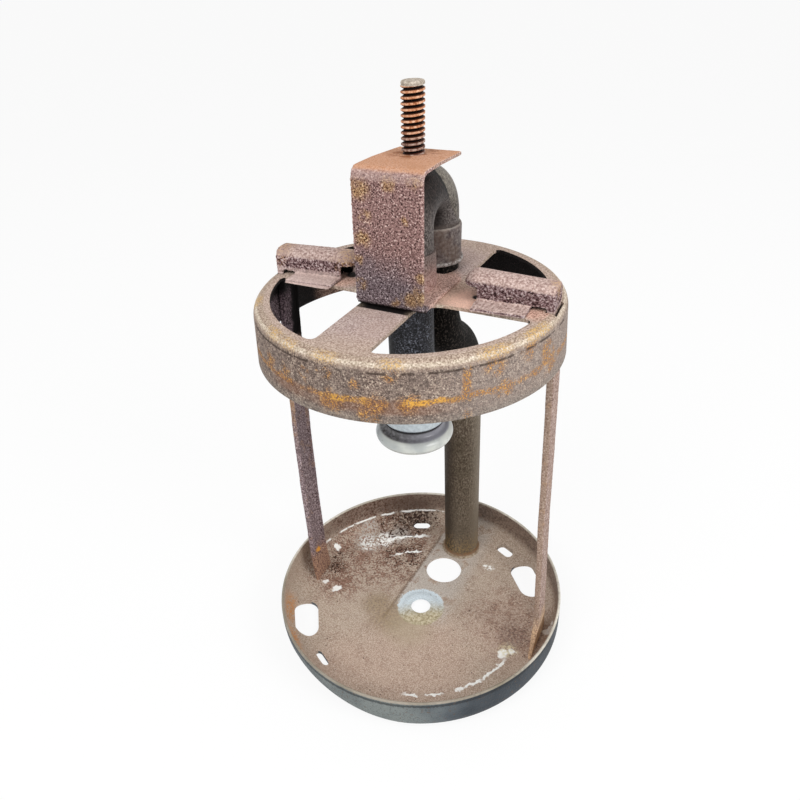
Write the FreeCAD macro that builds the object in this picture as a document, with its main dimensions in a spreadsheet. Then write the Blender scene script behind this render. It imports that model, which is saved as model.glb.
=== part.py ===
"""Open burner frame of a single-mantle pressure lantern.

Millimetres, +Z up. The origin is on the axis of the pan, at its underside. +X points to the right upright
and +Y to the mixing tube at the back.
"""

import FreeCAD, Part
import os
import re
import Sketcher
import PartDesign

# Base pan
pan_radius = 52.5
pan_height = 15.2
pan_sheet = 0.9
pan_corner = 7.0
boss_radius = 8.2
boss_crown = 6.0
boss_rise = 0.8
centre_hole = 3.8
supply_hole = 7.2
supply_reach = 22.0
back_vent_inset = 6.3
front_vent_inset = 8.6
vent_length = 7.6
vent_width = 4.0
back_vent_angle = 25.0
front_vent_angle = 30.0
match_inset = 7.8
match_length = 15.6
match_width = 9.4
right_match_angle = 41.0
left_match_angle = 215.0

# Top ring
ring_top = 135.6
ring_radius = 45.25
band_flare = 0.75
band_height = 16.9
ring_sheet = 1.0
ring_corner = 3.3
window_rim = 4.85
window_corner = 7.0
window_nip = 1.8
side_spoke = 7.3
front_spoke = 8.0
back_spoke = 12.3

# Uprights
right_skew = 4.0
left_skew = 1.5
upright_width = 8.6
upright_depth = 2.1
upright_sheet = 0.9
foot_inset = 6.5
toe_inset = 1.1
toe_height = 14.0
toe_lift = 0.15
band_clear = 0.4
hump_inset = 1.95
hump_rise = 8.0
hump_nose = 17.2
hump_round = 3.5
nose_round = 3.8
nose_gap = 4.2
end_gap = 1.0
tab_inner = 21.5
tab_inset = 6.5
tab_reach = 10.2
slip_gap = 0.7

# Stud bracket and stud
bracket_sheet = 1.1
bracket_width = 20.4
bracket_shift = 2.2
bracket_bend = 3.0
bracket_heel = 2.0
leg_reach = 16.0
bracket_rise = 37.1
plate_back = 9.5
strap_back = 10.4
stud_radius = 3.175
stud_height = 18.4
stud_pitch = 1.411
thread_share = 0.6
crest_share = 0.125
stud_across = 1.5
stud_back = 1.9
stud_neck = 2.2
stake_radius = 3.2
stake_height = 0.9

# Tubes of the burner
tube_radius = 6.95
tube_wall = 1.0
mix_inset = 14.4
swan_low = 87.9
swan_high = 123.9
bend_radius = 7.3
bend_wall = 1.1
bend_pitch = 18.0
bend_rise = 17.0
socket_depth = 5.0
bell_radius = 7.9
bell_height = 10.4
collar_radius = 8.4
collar_lift = 2.3
collar_height = 10.5
braze_reach = 1.2
braze_rise = 2.0

# Nozzle with its gauze
nozzle_foot = 83.5
flange_radius = 12.5
flange_height = 4.4
groove_radius = 9.5
groove_height = 3.8
neck_radius = 10.4
neck_height = 11.0
neck_round = 1.2
socket_floor = 8.4
mouth_radius = 7.9
mouth_depth = 5.0
gauze_sheet = 0.5
gauze_hole = 0.55
gauze_step = 2.2
keeper_width = 1.3
keeper_height = 1.0

# Clearances: brazed sleeves, the nozzle on its tube, and holes that a tube passes through
braze_gap = 0.05
slide_gap = 0.3
pass_gap = 0.3

# Every size above goes in the sheet under its own name
aliases = [name for name, number in globals().items() if isinstance(number, float)]
doc = FreeCAD.newDocument("burner_frame")
sheet = doc.addObject("Spreadsheet::Sheet", "Sizes")
for row, alias in enumerate(aliases, 1):
    sheet.set(f"A{row}", alias.replace("_", " "))
    sheet.set(f"B{row}", str(globals()[alias]))
    sheet.setAlias(f"B{row}", alias)
doc.recompute()

# Places that follow from the sizes
places = {
    "match_reach": "pan_radius - match_inset",
    "back_vent_reach": "pan_radius - back_vent_inset",
    "front_vent_reach": "pan_radius - front_vent_inset",
    "foot_reach": "pan_radius - foot_inset",
    "mix_reach": "pan_radius - mix_inset",
    "band_radius": "ring_radius + band_flare",
    "window_radius": "ring_radius - window_rim",
    "upright_reach": "band_radius - ring_sheet - band_clear",
    "hump_end": "ring_radius - hump_inset",
    "tab_outer": "hump_end - tab_inset",
    "plate_top": "ring_top + bracket_rise",
    "bend_centre": "ring_top + bend_rise",
}


def tied(text):
    """Turn a formula in plain size names into an expression on the sheet."""
    return re.sub(r"[a-z][a-z_]+", lambda word: bound(word.group()), text)


def bound(word):
    """Prefix a size name with its sheet, write out a place, and leave function names alone."""
    if word in places:
        return "(" + tied(places[word]) + ")"
    return "Sizes." + word if word in aliases else word


def value(text):
    """Work out a formula now, as a number of millimetres or degrees."""
    return float(sheet.evalExpression(tied(text)))


def new_body(node):
    """Start the body of one sub-part."""
    body = doc.addObject("PartDesign::Body", node)
    body.Label = node
    return body


def origin_part(body, role):
    """Find an origin plane or axis of a body by its role."""
    return next(item for item in body.Origin.OriginFeatures if item.Role == role)


def new_sketch(body, name, plane, lift=None):
    """Add a sketch on an origin plane, raised along the plane's normal by a formula."""
    sketch = body.newObject("Sketcher::SketchObject", body.Name + "_" + name)
    sketch.AttachmentSupport = [(origin_part(body, plane), "")]
    sketch.MapMode = "FlatFace"
    if lift:
        sketch.setExpression("AttachmentOffset.Base.z", tied(lift))
    return sketch


def tie(sketch, kind, geometry, point, formula):
    """Constrain one coordinate or radius of a sketch by a formula."""
    if kind == "Radius":
        index = sketch.addConstraint(Sketcher.Constraint(kind, geometry, value(formula)))
    else:
        index = sketch.addConstraint(Sketcher.Constraint(kind, geometry, point, value(formula)))
    sketch.setExpression(f"Constraints[{index}]", tied(formula))


def arc_between(start, end, place, side):
    """Arc from start to end, bulging to the left (side 1) or to the right (side -1) of the way there.

    place gives one coordinate of its centre, which lies on the line midway between the ends.
    """
    axis, formula = place
    half = (end - start) * 0.5
    across = FreeCAD.Vector(-half.y, half.x, 0).normalize()
    middle = start + half
    if axis == "DistanceX":
        centre = middle + across * ((value(formula) - middle.x) / across.x)
    else:
        centre = middle + across * ((value(formula) - middle.y) / across.y)
    return Part.Arc(start, centre + across * (side * (start - centre).Length), end)


def outline(sketch, corners, arcs=None, closed=True):
    """Draw straight edges between corners given as formulas.

    arcs holds, by the number of the corner that a round edge starts from, which coordinate of its centre is
    given, its formula, and the side that the edge bulges to.
    """
    arcs = arcs or {}
    spots = [FreeCAD.Vector(value(across), value(up), 0) for across, up in corners]
    count = len(corners) if closed else len(corners) - 1
    edges = []
    for index in range(count):
        start = spots[index]
        end = spots[(index + 1) % len(spots)]
        if index in arcs:
            axis, formula, side = arcs[index]
            edges.append(sketch.addGeometry(arc_between(start, end, (axis, formula), side)))
        else:
            edges.append(sketch.addGeometry(Part.LineSegment(start, end)))
    heads = [ends_of(arcs, index)[0] for index in range(count)]
    tails = [ends_of(arcs, index)[1] for index in range(count)]
    for index in range(count if closed else count - 1):
        after = (index + 1) % count
        sketch.addConstraint(
            Sketcher.Constraint("Coincident", edges[index], tails[index], edges[after], heads[after])
        )
    for index, (across, up) in enumerate(corners):
        last = index == count
        edge = edges[count - 1] if last else edges[index]
        point = tails[count - 1] if last else heads[index]
        tie(sketch, "DistanceX", edge, point, across)
        tie(sketch, "DistanceY", edge, point, up)
    for index, (axis, formula, side) in arcs.items():
        tie(sketch, axis, edges[index], 3, formula)


def ends_of(arcs, index):
    """Point numbers of an edge's head and tail: an arc's own start is the one that runs anticlockwise."""
    if index in arcs and arcs[index][2] > 0:
        return 2, 1
    return 1, 2


def circle(sketch, radius, across="0", up="0"):
    """Draw a circle whose radius and centre are formulas."""
    centre = FreeCAD.Vector(value(across), value(up), 0)
    edge = sketch.addGeometry(Part.Circle(centre, FreeCAD.Vector(0, 0, 1), value(radius)))
    tie(sketch, "Radius", edge, 0, radius)
    tie(sketch, "DistanceX", edge, 3, across)
    tie(sketch, "DistanceY", edge, 3, up)


def slot(sketch, across, length, width):
    """Draw a round-ended slot along the sketch's second axis, at a formula's distance along the first."""
    half = f"({length} - {width}) / 2"
    near = f"{across} - {width} / 2"
    far = f"{across} + {width} / 2"
    corners = [(far, f"-{half}"), (far, half), (near, half), (near, f"-{half}")]
    outline(sketch, corners, {1: ("DistanceY", half, -1), 3: ("DistanceY", f"-{half}", -1)})


def rectangle(sketch, left, right, low, high):
    """Draw a rectangle between four formulas."""
    outline(sketch, [(left, low), (right, low), (right, high), (left, high)])


def revolve(body, sketch, axis=None, kind="Revolution"):
    """Add a section turned about the Z axis, or about the sketch's own axis, or take it away as a Groove."""
    turned = body.newObject(f"PartDesign::{kind}", f"{body.Name}_{kind.lower()}")
    turned.Profile = sketch
    turned.ReferenceAxis = axis or (origin_part(body, "Z_Axis"), [""])
    turned.Angle = 360
    doc.recompute()
    return turned


def pad(body, name, sketch, length, middle=False):
    """Raise a sketch by a formula, to one side or evenly to both."""
    raised = body.newObject("PartDesign::Pad", body.Name + "_" + name)
    raised.Profile = sketch
    raised.setExpression("Length", tied(length))
    raised.SideType = "Symmetric" if middle else "One side"
    doc.recompute()
    return raised


def cut(body, name, sketch, length=None, sides="Symmetric"):
    """Cut a sketch evenly to both sides or to one: right through, or as far as a formula says."""
    before = body.Shape.Volume
    pocket = body.newObject("PartDesign::Pocket", body.Name + "_" + name)
    pocket.Profile = sketch
    pocket.SideType = sides
    if length:
        pocket.setExpression("Length", tied(length))
    else:
        pocket.Type = "ThroughAll"
    doc.recompute()
    if body.Shape.Volume >= before:
        raise RuntimeError(f"{pocket.Name} cut nothing")
    return pocket


def fillet(body, name, feature, radius, chosen):
    """Round the edges of a feature that a test picks."""
    names = [f"Edge{index}" for index, edge in enumerate(feature.Shape.Edges, 1) if chosen(edge)]
    if not names:
        raise RuntimeError(f"{body.Name} {name}: no edge to round")
    rounded = body.newObject("PartDesign::Fillet", body.Name + "_" + name)
    rounded.Base = (feature, names)
    rounded.setExpression("Radius", tied(radius))
    doc.recompute()
    return rounded


def ring_edge(radius, height):
    """Test for a round edge about the Z axis, of a given radius and height."""
    def chosen(edge):
        if not isinstance(edge.Curve, Part.Circle):
            return False
        return near(edge.Curve.Radius, value(radius)) and near(edge.Curve.Center.z, value(height))
    return chosen


def near(first, second):
    """Whether two lengths agree."""
    return abs(first - second) < 0.01


def sweep(body, name, path, radius, bore, spot, height):
    """Run a tube along a path drawn in the YZ plane, from a spot on Y at a height."""
    section = new_sketch(body, name + "_section", "XY_Plane", height)
    circle(section, radius, "0", spot)
    circle(section, bore, "0", spot)
    tube = body.newObject("PartDesign::AdditivePipe", body.Name + "_" + name)
    tube.Profile = section
    tube.Spine = (path, [])
    doc.recompute()
    return tube


# Base pan: pressed dish with a raised ring round its centre hole
base_pan = new_body("base_pan")
section = new_sketch(base_pan, "section", "XZ_Plane")
outline(section, [
    ("centre_hole", "boss_rise"),
    ("boss_crown", "boss_rise"),
    ("boss_radius", "0"),
    ("pan_radius", "0"),
    ("pan_radius", "pan_height"),
    ("pan_radius - pan_sheet", "pan_height"),
    ("pan_radius - pan_sheet", "pan_sheet"),
    ("boss_radius", "pan_sheet"),
    ("boss_crown", "boss_rise + pan_sheet"),
    ("centre_hole", "boss_rise + pan_sheet"),
])
dish = revolve(base_pan, section)
dish = fillet(base_pan, "outer_corner", dish, "pan_corner", ring_edge("pan_radius", "0"))
inner_corner = ring_edge("pan_radius - pan_sheet", "pan_sheet")
dish = fillet(base_pan, "inner_corner", dish, "pan_corner - pan_sheet", inner_corner)

for name, radius, back in (
    ("supply", "supply_hole", "supply_reach"),
    ("inlet", "tube_radius - tube_wall", "mix_reach"),
):
    hole = new_sketch(base_pan, name, "XY_Plane")
    circle(hole, radius, "0", back)
    cut(base_pan, f"{name}_hole", hole)

vents = [
    ("90 - back_vent_angle", "back_vent_reach"),
    ("90 + back_vent_angle", "back_vent_reach"),
    ("270 - front_vent_angle", "front_vent_reach"),
    ("270 + front_vent_angle", "front_vent_reach"),
]
for number, (angle, reach) in enumerate(vents, 1):
    vent = new_sketch(base_pan, f"vent_{number}", "XY_Plane")
    vent.setExpression("AttachmentOffset.Rotation.Angle", tied(angle))
    slot(vent, reach, "vent_length", "vent_width")
    cut(base_pan, f"vent_slot_{number}", vent)
for number, angle in enumerate(["right_match_angle", "left_match_angle"], 1):
    match = new_sketch(base_pan, f"match_{number}", "XY_Plane")
    match.setExpression("AttachmentOffset.Rotation.Angle", tied(angle))
    slot(match, "match_reach", "match_length", "match_width")
    cut(base_pan, f"match_hole_{number}", match)

# Top ring: inverted cup whose deck is cut to four spokes and a hub
top_ring = new_body("top_ring")
section = new_sketch(top_ring, "section", "XZ_Plane")
outline(section, [
    ("0", "ring_top - ring_sheet"),
    ("ring_radius - ring_sheet", "ring_top - ring_sheet"),
    ("band_radius - ring_sheet", "ring_top - band_height"),
    ("band_radius", "ring_top - band_height"),
    ("ring_radius", "ring_top"),
    ("0", "ring_top"),
])
cup = revolve(top_ring, section)
cup = fillet(top_ring, "outer_corner", cup, "ring_corner", ring_edge("ring_radius", "ring_top"))
under_corner = ring_edge("ring_radius - ring_sheet", "ring_top - ring_sheet")
cup = fillet(top_ring, "inner_corner", cup, "ring_corner - ring_sheet", under_corner)
# Each window runs between two spokes; the second axis of its sketch is the way round from the first
windows = [
    ("back_right", 0, "side_spoke", "back_spoke"),
    ("back_left", 90, "back_spoke", "side_spoke"),
    ("front_left", 180, "side_spoke", "front_spoke"),
    ("front_right", 270, "front_spoke", "side_spoke"),
]
for place, turn, start_spoke, end_spoke in windows:
    window = new_sketch(top_ring, place, "XY_Plane", "ring_top")
    window.setExpression("AttachmentOffset.Rotation.Angle", str(turn))
    outline(window, [
        (f"{end_spoke} + window_corner", start_spoke),
        (f"sqrt(window_radius ^ 2 - {start_spoke} ^ 2)", start_spoke),
        (end_spoke, f"sqrt(window_radius ^ 2 - {end_spoke} ^ 2)"),
        (end_spoke, f"{start_spoke} + window_corner"),
    ], {1: ("DistanceY", "0", -1), 3: ("DistanceY", f"{start_spoke} + window_corner", -1)})
    cut(top_ring, f"{place}_window", window, "ring_sheet * 3")


def window_tip(edge):
    """Upright edge where a spoke meets the outer arc of a window."""
    if len(edge.Vertexes) != 2:
        return False
    top, foot = [vertex.Point for vertex in edge.Vertexes]
    reach = (top.x ** 2 + top.y ** 2) ** 0.5
    level = near(top.x, foot.x) and near(top.y, foot.y)
    return level and near(reach, value("window_radius"))


fillet(top_ring, "window_tips", top_ring.Tip, "window_nip", window_tip)
holes = new_sketch(top_ring, "holes", "XY_Plane", "ring_top")
circle(holes, "tube_radius + pass_gap")
circle(holes, "tube_radius + pass_gap", "0", "bend_pitch")
cut(top_ring, "tube_holes", holes, "ring_sheet * 3")
# On each side an upright comes up through a slot near the rim
for place, turn in (("right", "right_skew"), ("left", "left_skew + 180")):
    slots = new_sketch(top_ring, f"{place}_slot", "XY_Plane", "ring_top")
    slots.setExpression("AttachmentOffset.Rotation.Angle", tied(turn))
    half = "upright_width / 2 + pass_gap"
    rectangle(slots, "hump_end - upright_depth - pass_gap", "hump_end + slip_gap", f"-({half})", half)
    cut(top_ring, f"{place}_slot_cut", slots, "ring_corner * 2")


# Uprights: channel strips from the pan, up inside the ring and bent inward over it as hollow humps
def upright(node, turn, front):
    """Make one upright along X, with its tab on the -Y side (-1) or the +Y side (1), and turn it about Z."""
    body = new_body(node)
    body.Placement.Rotation = FreeCAD.Rotation(FreeCAD.Vector(0, 0, 1), 0)
    body.setExpression("Placement.Rotation.Angle", tied(turn))
    band_foot = "ring_top - band_height"
    hump_top = "ring_top + hump_rise"
    end_wall = "hump_end - upright_sheet"
    side = new_sketch(body, "side", "XZ_Plane")
    outline(side, [
        ("foot_reach - upright_depth", "pan_sheet + toe_lift"),
        ("foot_reach - toe_inset", "pan_sheet + toe_lift"),
        ("foot_reach", "toe_height"),
        ("upright_reach", band_foot),
        ("hump_end", "ring_top - ring_corner"),
        ("hump_end", hump_top),
        ("hump_nose", hump_top),
        ("hump_nose", "ring_top"),
        ("hump_end - upright_depth", "ring_top"),
        ("hump_end - upright_depth", "ring_top - ring_corner"),
        ("upright_reach - upright_depth", band_foot),
        ("foot_reach - upright_depth", "toe_height"),
    ])
    strip = pad(body, "strip", side, "upright_width", True)

    def nose_edge(edge):
        """The two edges that stand at the nose."""
        box = edge.BoundBox
        return near(box.XMax, value("hump_nose")) and near(box.YMin, box.YMax) and box.ZLength > box.YLength

    rounded = fillet(body, "nose", strip, "nose_round", nose_edge)

    def top_edge(edge):
        """Edges round the hump's top, apart from the one over its outer end."""
        box = edge.BoundBox
        return near(box.ZMin, value(hump_top)) and not near(box.XMin, value("hump_end"))

    fillet(body, "hump", rounded, "hump_round", top_edge)
    channel = new_sketch(body, "channel", "XZ_Plane")
    outline(channel, [
        ("foot_reach - upright_sheet", "toe_height"),
        ("upright_reach - upright_sheet", band_foot),
        (end_wall, "ring_top - ring_corner"),
        (end_wall, "ring_top + upright_sheet"),
        ("hump_end - upright_depth * 2", "ring_top + upright_sheet"),
        ("hump_end - upright_depth * 2", "ring_top - ring_corner"),
        ("upright_reach - upright_depth * 2", band_foot),
        ("foot_reach - upright_depth * 2", "toe_height"),
    ])
    inside = "upright_width / 2 - upright_sheet"
    cut(body, "channel_hollow", channel, f"({inside}) * 2")
    tunnel = new_sketch(body, "tunnel", "YZ_Plane", end_wall)
    crown = "hump_round - upright_sheet"
    outline(tunnel, [
        (f"-({inside})", "ring_top - upright_sheet"),
        (inside, "ring_top - upright_sheet"),
        (inside, f"{hump_top} - hump_round"),
        (f"{inside} - ({crown})", f"{hump_top} - upright_sheet"),
        (f"{crown} - ({inside})", f"{hump_top} - upright_sheet"),
        (f"-({inside})", f"{hump_top} - hump_round"),
    ], {
        2: ("DistanceY", f"{hump_top} - hump_round", -1),
        4: ("DistanceY", f"{hump_top} - hump_round", -1),
    })
    cut(body, "tunnel_hollow", tunnel, f"{end_wall} - hump_nose - nose_round", "One side")
    gaps = new_sketch(body, "gaps", "XZ_Plane")
    rectangle(gaps, "tab_outer", "hump_end - upright_depth", "ring_top", "ring_top + end_gap")
    before_nose = "hump_nose - upright_sheet"
    rectangle(gaps, before_nose, "tab_inner", "ring_top - upright_sheet", "ring_top + nose_gap")
    cut(body, "side_gaps", gaps)
    tab = new_sketch(body, "tab", "XY_Plane", "ring_top")
    outline(tab, [
        ("tab_inner", f"{front} * ({inside})"),
        ("tab_inner", f"{front} * tab_reach"),
        ("tab_outer", f"{front} * tab_reach"),
        ("tab_outer", f"{front} * ({inside})"),
    ])
    pad(body, "side_tab", tab, "upright_sheet")


upright("right_upright", "right_skew", -1)
upright("left_upright", "left_skew + 180", 1)

# Stud bracket: strap bent to a C, with its foot on the hub round the burner tube
stud_bracket = new_body("stud_bracket")
stud_bracket.setExpression("Placement.Base.x", tied("bracket_shift"))
strap = new_sketch(stud_bracket, "strap", "YZ_Plane")
outline(strap, [
    ("-leg_reach", "ring_top"),
    ("strap_back", "ring_top"),
    ("strap_back", "ring_top + bracket_sheet"),
    ("-(leg_reach - bracket_sheet)", "ring_top + bracket_sheet"),
    ("-(leg_reach - bracket_sheet)", "plate_top - bracket_sheet"),
    ("plate_back", "plate_top - bracket_sheet"),
    ("plate_back", "plate_top"),
    ("-leg_reach", "plate_top"),
])
bent = pad(stud_bracket, "bent", strap, "bracket_width", True)


def cross_edge(back, height):
    """Test for an edge across the strap, at a place along Y and a height."""
    def chosen(edge):
        box = edge.BoundBox
        flat = near(box.YMin, box.YMax) and near(box.ZMin, box.ZMax)
        return flat and near(box.YMin, value(back)) and near(box.ZMin, value(height))
    return chosen


bent = fillet(stud_bracket, "top_bend", bent, "bracket_bend", cross_edge("-leg_reach", "plate_top"))
under_top = cross_edge("-(leg_reach - bracket_sheet)", "plate_top - bracket_sheet")
bent = fillet(stud_bracket, "top_inside", bent, "bracket_bend - bracket_sheet", under_top)
bent = fillet(stud_bracket, "heel", bent, "bracket_heel", cross_edge("-leg_reach", "ring_top"))
over_heel = cross_edge("-(leg_reach - bracket_sheet)", "ring_top + bracket_sheet")
fillet(stud_bracket, "heel_inside", bent, "bracket_heel - bracket_sheet", over_heel)
holes = new_sketch(stud_bracket, "tube_holes", "XY_Plane", "ring_top")
circle(holes, "tube_radius + pass_gap", "-bracket_shift")
cut(stud_bracket, "foot_holes", holes, "bracket_sheet * 3")
holes = new_sketch(stud_bracket, "stud_hole", "XY_Plane", "plate_top")
circle(holes, "stud_neck + braze_gap", "stud_across - bracket_shift", "stud_back")
cut(stud_bracket, "plate_hole", holes, "bracket_sheet * 3")

# Hood stud: threaded above the plate, with a neck through it and a staked head below
hood_stud = new_body("hood_stud")
hood_stud.setExpression("Placement.Base.x", tied("stud_across"))
hood_stud.setExpression("Placement.Base.y", tied("stud_back"))
section = new_sketch(hood_stud, "section", "XZ_Plane")
under_plate = "plate_top - bracket_sheet"
thread_depth = "stud_pitch * thread_share"
outline(section, [
    ("0", f"{under_plate} - stake_height"),
    ("stake_radius", f"{under_plate} - stake_height"),
    ("stake_radius", under_plate),
    ("stud_neck", under_plate),
    ("stud_neck", "plate_top"),
    ("stud_radius", "plate_top"),
    ("stud_radius", f"plate_top + stud_height - {thread_depth}"),
    (f"stud_radius - {thread_depth}", "plate_top + stud_height"),
    ("0", "plate_top + stud_height"),
])
revolve(hood_stud, section)
groove = new_sketch(hood_stud, "groove", "XZ_Plane")
crest = "stud_pitch * crest_share"
mouth = f"(stud_pitch - {crest}) / 2"
outline(groove, [
    (f"stud_radius - {thread_depth}", "plate_top"),
    (f"stud_radius + {crest}", f"plate_top - {mouth}"),
    (f"stud_radius + {crest}", f"plate_top + {mouth}"),
])
thread = hood_stud.newObject("PartDesign::SubtractiveHelix", "hood_stud_thread")
thread.Profile = groove
thread.ReferenceAxis = (origin_part(hood_stud, "Z_Axis"), [""])
thread.Mode = "pitch-height-angle"
thread.setExpression("Pitch", tied("stud_pitch"))
thread.setExpression("Height", tied("stud_height + stud_pitch"))
doc.recompute()

# Return bend: half-circle tube from the mixing tube over to the burner
leg_end = "ring_top + bracket_sheet + bell_height - socket_depth"
return_bend = new_body("return_bend")
path = new_sketch(return_bend, "path", "YZ_Plane")
outline(path, [
    ("0", leg_end),
    ("0", "bend_centre"),
    ("bend_pitch", "bend_centre"),
    ("bend_pitch", leg_end),
], {1: ("DistanceY", "bend_centre", 1)}, closed=False)
sweep(return_bend, "tube", path, "bend_radius", "bend_radius - bend_wall", "0", leg_end)

# Burner tube: on the axis, belled at its top where it stands on the foot of the bracket
burner_tube = new_body("burner_tube")
section = new_sketch(burner_tube, "section", "XZ_Plane")
bell_foot = "ring_top + bracket_sheet"
bore = "tube_radius - tube_wall"
outline(section, [
    (bore, "nozzle_foot + socket_floor"),
    ("tube_radius", "nozzle_foot + socket_floor"),
    ("tube_radius", bell_foot),
    ("bell_radius", bell_foot),
    ("bell_radius", f"{bell_foot} + bell_height"),
    ("bend_radius + braze_gap", f"{bell_foot} + bell_height"),
    ("bend_radius + braze_gap", leg_end),
    (bore, leg_end),
])
revolve(burner_tube, section)

# Mixing tube: up from the pan, then over to the return bend in an S of two equal arcs
mixing_tube = new_body("mixing_tube")
path = new_sketch(mixing_tube, "path", "YZ_Plane")
outline(path, [
    ("mix_reach", "pan_sheet"),
    ("mix_reach", "swan_low"),
    ("(mix_reach + bend_pitch) / 2", "(swan_low + swan_high) / 2"),
    ("bend_pitch", "swan_high"),
    ("bend_pitch", f"{leg_end} - braze_gap"),
], {1: ("DistanceY", "swan_low", -1), 2: ("DistanceY", "swan_high", 1)}, closed=False)
sweep(mixing_tube, "tube", path, "tube_radius", bore, "mix_reach", "pan_sheet")

# Collar: sleeve over the end of the mixing tube and the back leg of the bend
joint_collar = new_body("joint_collar")
joint_collar.setExpression("Placement.Base.y", tied("bend_pitch"))
section = new_sketch(joint_collar, "section", "XZ_Plane")
outline(section, [
    ("tube_radius + braze_gap", "ring_top + collar_lift"),
    ("collar_radius", "ring_top + collar_lift"),
    ("collar_radius", "ring_top + collar_lift + collar_height"),
    ("bend_radius + braze_gap", "ring_top + collar_lift + collar_height"),
    ("bend_radius + braze_gap", leg_end),
    ("tube_radius + braze_gap", leg_end),
])
revolve(joint_collar, section)

# Braze: fillet of brass where the mixing tube stands on the pan, lying up to the pan's round corner
tube_braze = new_body("tube_braze")
section = new_sketch(tube_braze, "section", "YZ_Plane")
braze_inside = "mix_reach + tube_radius + braze_gap"
outline(section, [
    (braze_inside, "pan_sheet"),
    (f"{braze_inside} + braze_reach", "pan_sheet"),
    (braze_inside, "pan_sheet + braze_rise"),
], {1: ("DistanceY", "pan_sheet + braze_rise", 1)})
foot = FreeCAD.Vector(value("mix_reach"), 0, 0)
line = section.addGeometry(Part.LineSegment(foot, foot + FreeCAD.Vector(0, value("pan_height"), 0)), True)
for end, height in ((1, "0"), (2, "pan_height")):
    tie(section, "DistanceX", line, end, "mix_reach")
    tie(section, "DistanceY", line, end, height)
revolve(tube_braze, section, (section, ["Axis0"]))
corner = new_sketch(tube_braze, "corner", "XZ_Plane")
outline(corner, [
    ("pan_radius - pan_corner", "0"),
    ("pan_radius", "0"),
    ("pan_radius", "pan_height"),
    ("pan_radius - pan_sheet", "pan_height"),
    ("pan_radius - pan_sheet", "pan_corner"),
    ("pan_radius - pan_corner", "pan_sheet"),
], {4: ("DistanceY", "pan_corner", 1)})
revolve(tube_braze, corner, kind="Groove")

# Nozzle: neck that pushes on the burner tube, groove for the mantle's string, and round flange
burner_nozzle = new_body("burner_nozzle")
section = new_sketch(burner_nozzle, "section", "XZ_Plane")
flange_top = "nozzle_foot + flange_height"
neck_foot = "nozzle_foot + flange_height + groove_height"
neck_top = "nozzle_foot + flange_height + groove_height + neck_height"
shoulder = "nozzle_foot + mouth_depth"
outline(section, [
    (bore, shoulder),
    ("mouth_radius", shoulder),
    ("mouth_radius", "nozzle_foot"),
    ("flange_radius - flange_height / 2", "nozzle_foot"),
    ("flange_radius - flange_height / 2", flange_top),
    ("groove_radius", flange_top),
    ("groove_radius", f"{neck_foot} - (neck_radius - groove_radius)"),
    ("neck_radius", neck_foot),
    ("neck_radius", f"{neck_top} - neck_round"),
    ("neck_radius - neck_round", neck_top),
    ("tube_radius + slide_gap", neck_top),
    ("tube_radius + slide_gap", "nozzle_foot + socket_floor"),
    (bore, "nozzle_foot + socket_floor"),
], {
    3: ("DistanceX", "flange_radius - flange_height / 2", -1),
    8: ("DistanceY", f"{neck_top} - neck_round", -1),
})
revolve(burner_nozzle, section)

# Gauze: perforated disc under the shoulder in the nozzle's mouth
burner_gauze = new_body("burner_gauze")
disc = new_sketch(burner_gauze, "disc", "XY_Plane", f"{shoulder} - gauze_sheet")
circle(disc, "mouth_radius - braze_gap")
pad(burner_gauze, "sheet", disc, "gauze_sheet")
hole = new_sketch(burner_gauze, "centre", "XY_Plane", shoulder)
circle(hole, "gauze_hole")
cut(burner_gauze, "centre_hole", hole, "gauze_sheet * 4")
for ring, count in ((1, 6), (2, 12)):
    hole = new_sketch(burner_gauze, f"hole_{ring}", "XY_Plane", shoulder)
    circle(hole, "gauze_hole", f"gauze_step * {ring}")
    first = cut(burner_gauze, f"first_hole_{ring}", hole, "gauze_sheet * 4")
    pattern = burner_gauze.newObject("PartDesign::PolarPattern", f"burner_gauze_ring_{ring}")
    pattern.Originals = [first]
    pattern.Axis = (origin_part(burner_gauze, "Z_Axis"), [""])
    pattern.Angle = 360
    pattern.Occurrences = count
    burner_gauze.Tip = pattern
    doc.recompute()

# Gauze ring: keeps the disc up against the shoulder
gauze_ring = new_body("gauze_ring")
section = new_sketch(gauze_ring, "section", "XZ_Plane")
keeper_top = f"{shoulder} - gauze_sheet"
keeper_outside = "mouth_radius - braze_gap"
outline(section, [
    (f"{keeper_outside} - keeper_width", f"{keeper_top} - keeper_height"),
    (keeper_outside, f"{keeper_top} - keeper_height"),
    (keeper_outside, keeper_top),
    (f"{keeper_outside} - keeper_width", keeper_top),
])
revolve(gauze_ring, section)

# Checks, then one file for each sub-part
doc.recompute()
failed = [item.Name for item in doc.Objects if "Invalid" in item.State or "Error" in item.State]
if failed:
    raise RuntimeError("failed: " + ", ".join(failed))
bodies = [item for item in doc.Objects if item.isDerivedFrom("PartDesign::Body")]
for body in bodies:
    if body.Shape.isNull() or not body.Shape.isValid() or len(body.Shape.Solids) != 1:
        raise RuntimeError(f"{body.Label} is not one valid solid")
os.makedirs("parts", exist_ok=True)
for body in bodies:
    body.Shape.exportStep(f"parts/{body.Label}.step")
    box = body.Shape.BoundBox
    print(f"{body.Label}: {body.Shape.Volume:.0f} mm3, z {box.ZMin:.2f} to {box.ZMax:.2f}")
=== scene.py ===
import math

import bpy
from mathutils import Matrix, Vector


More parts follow.
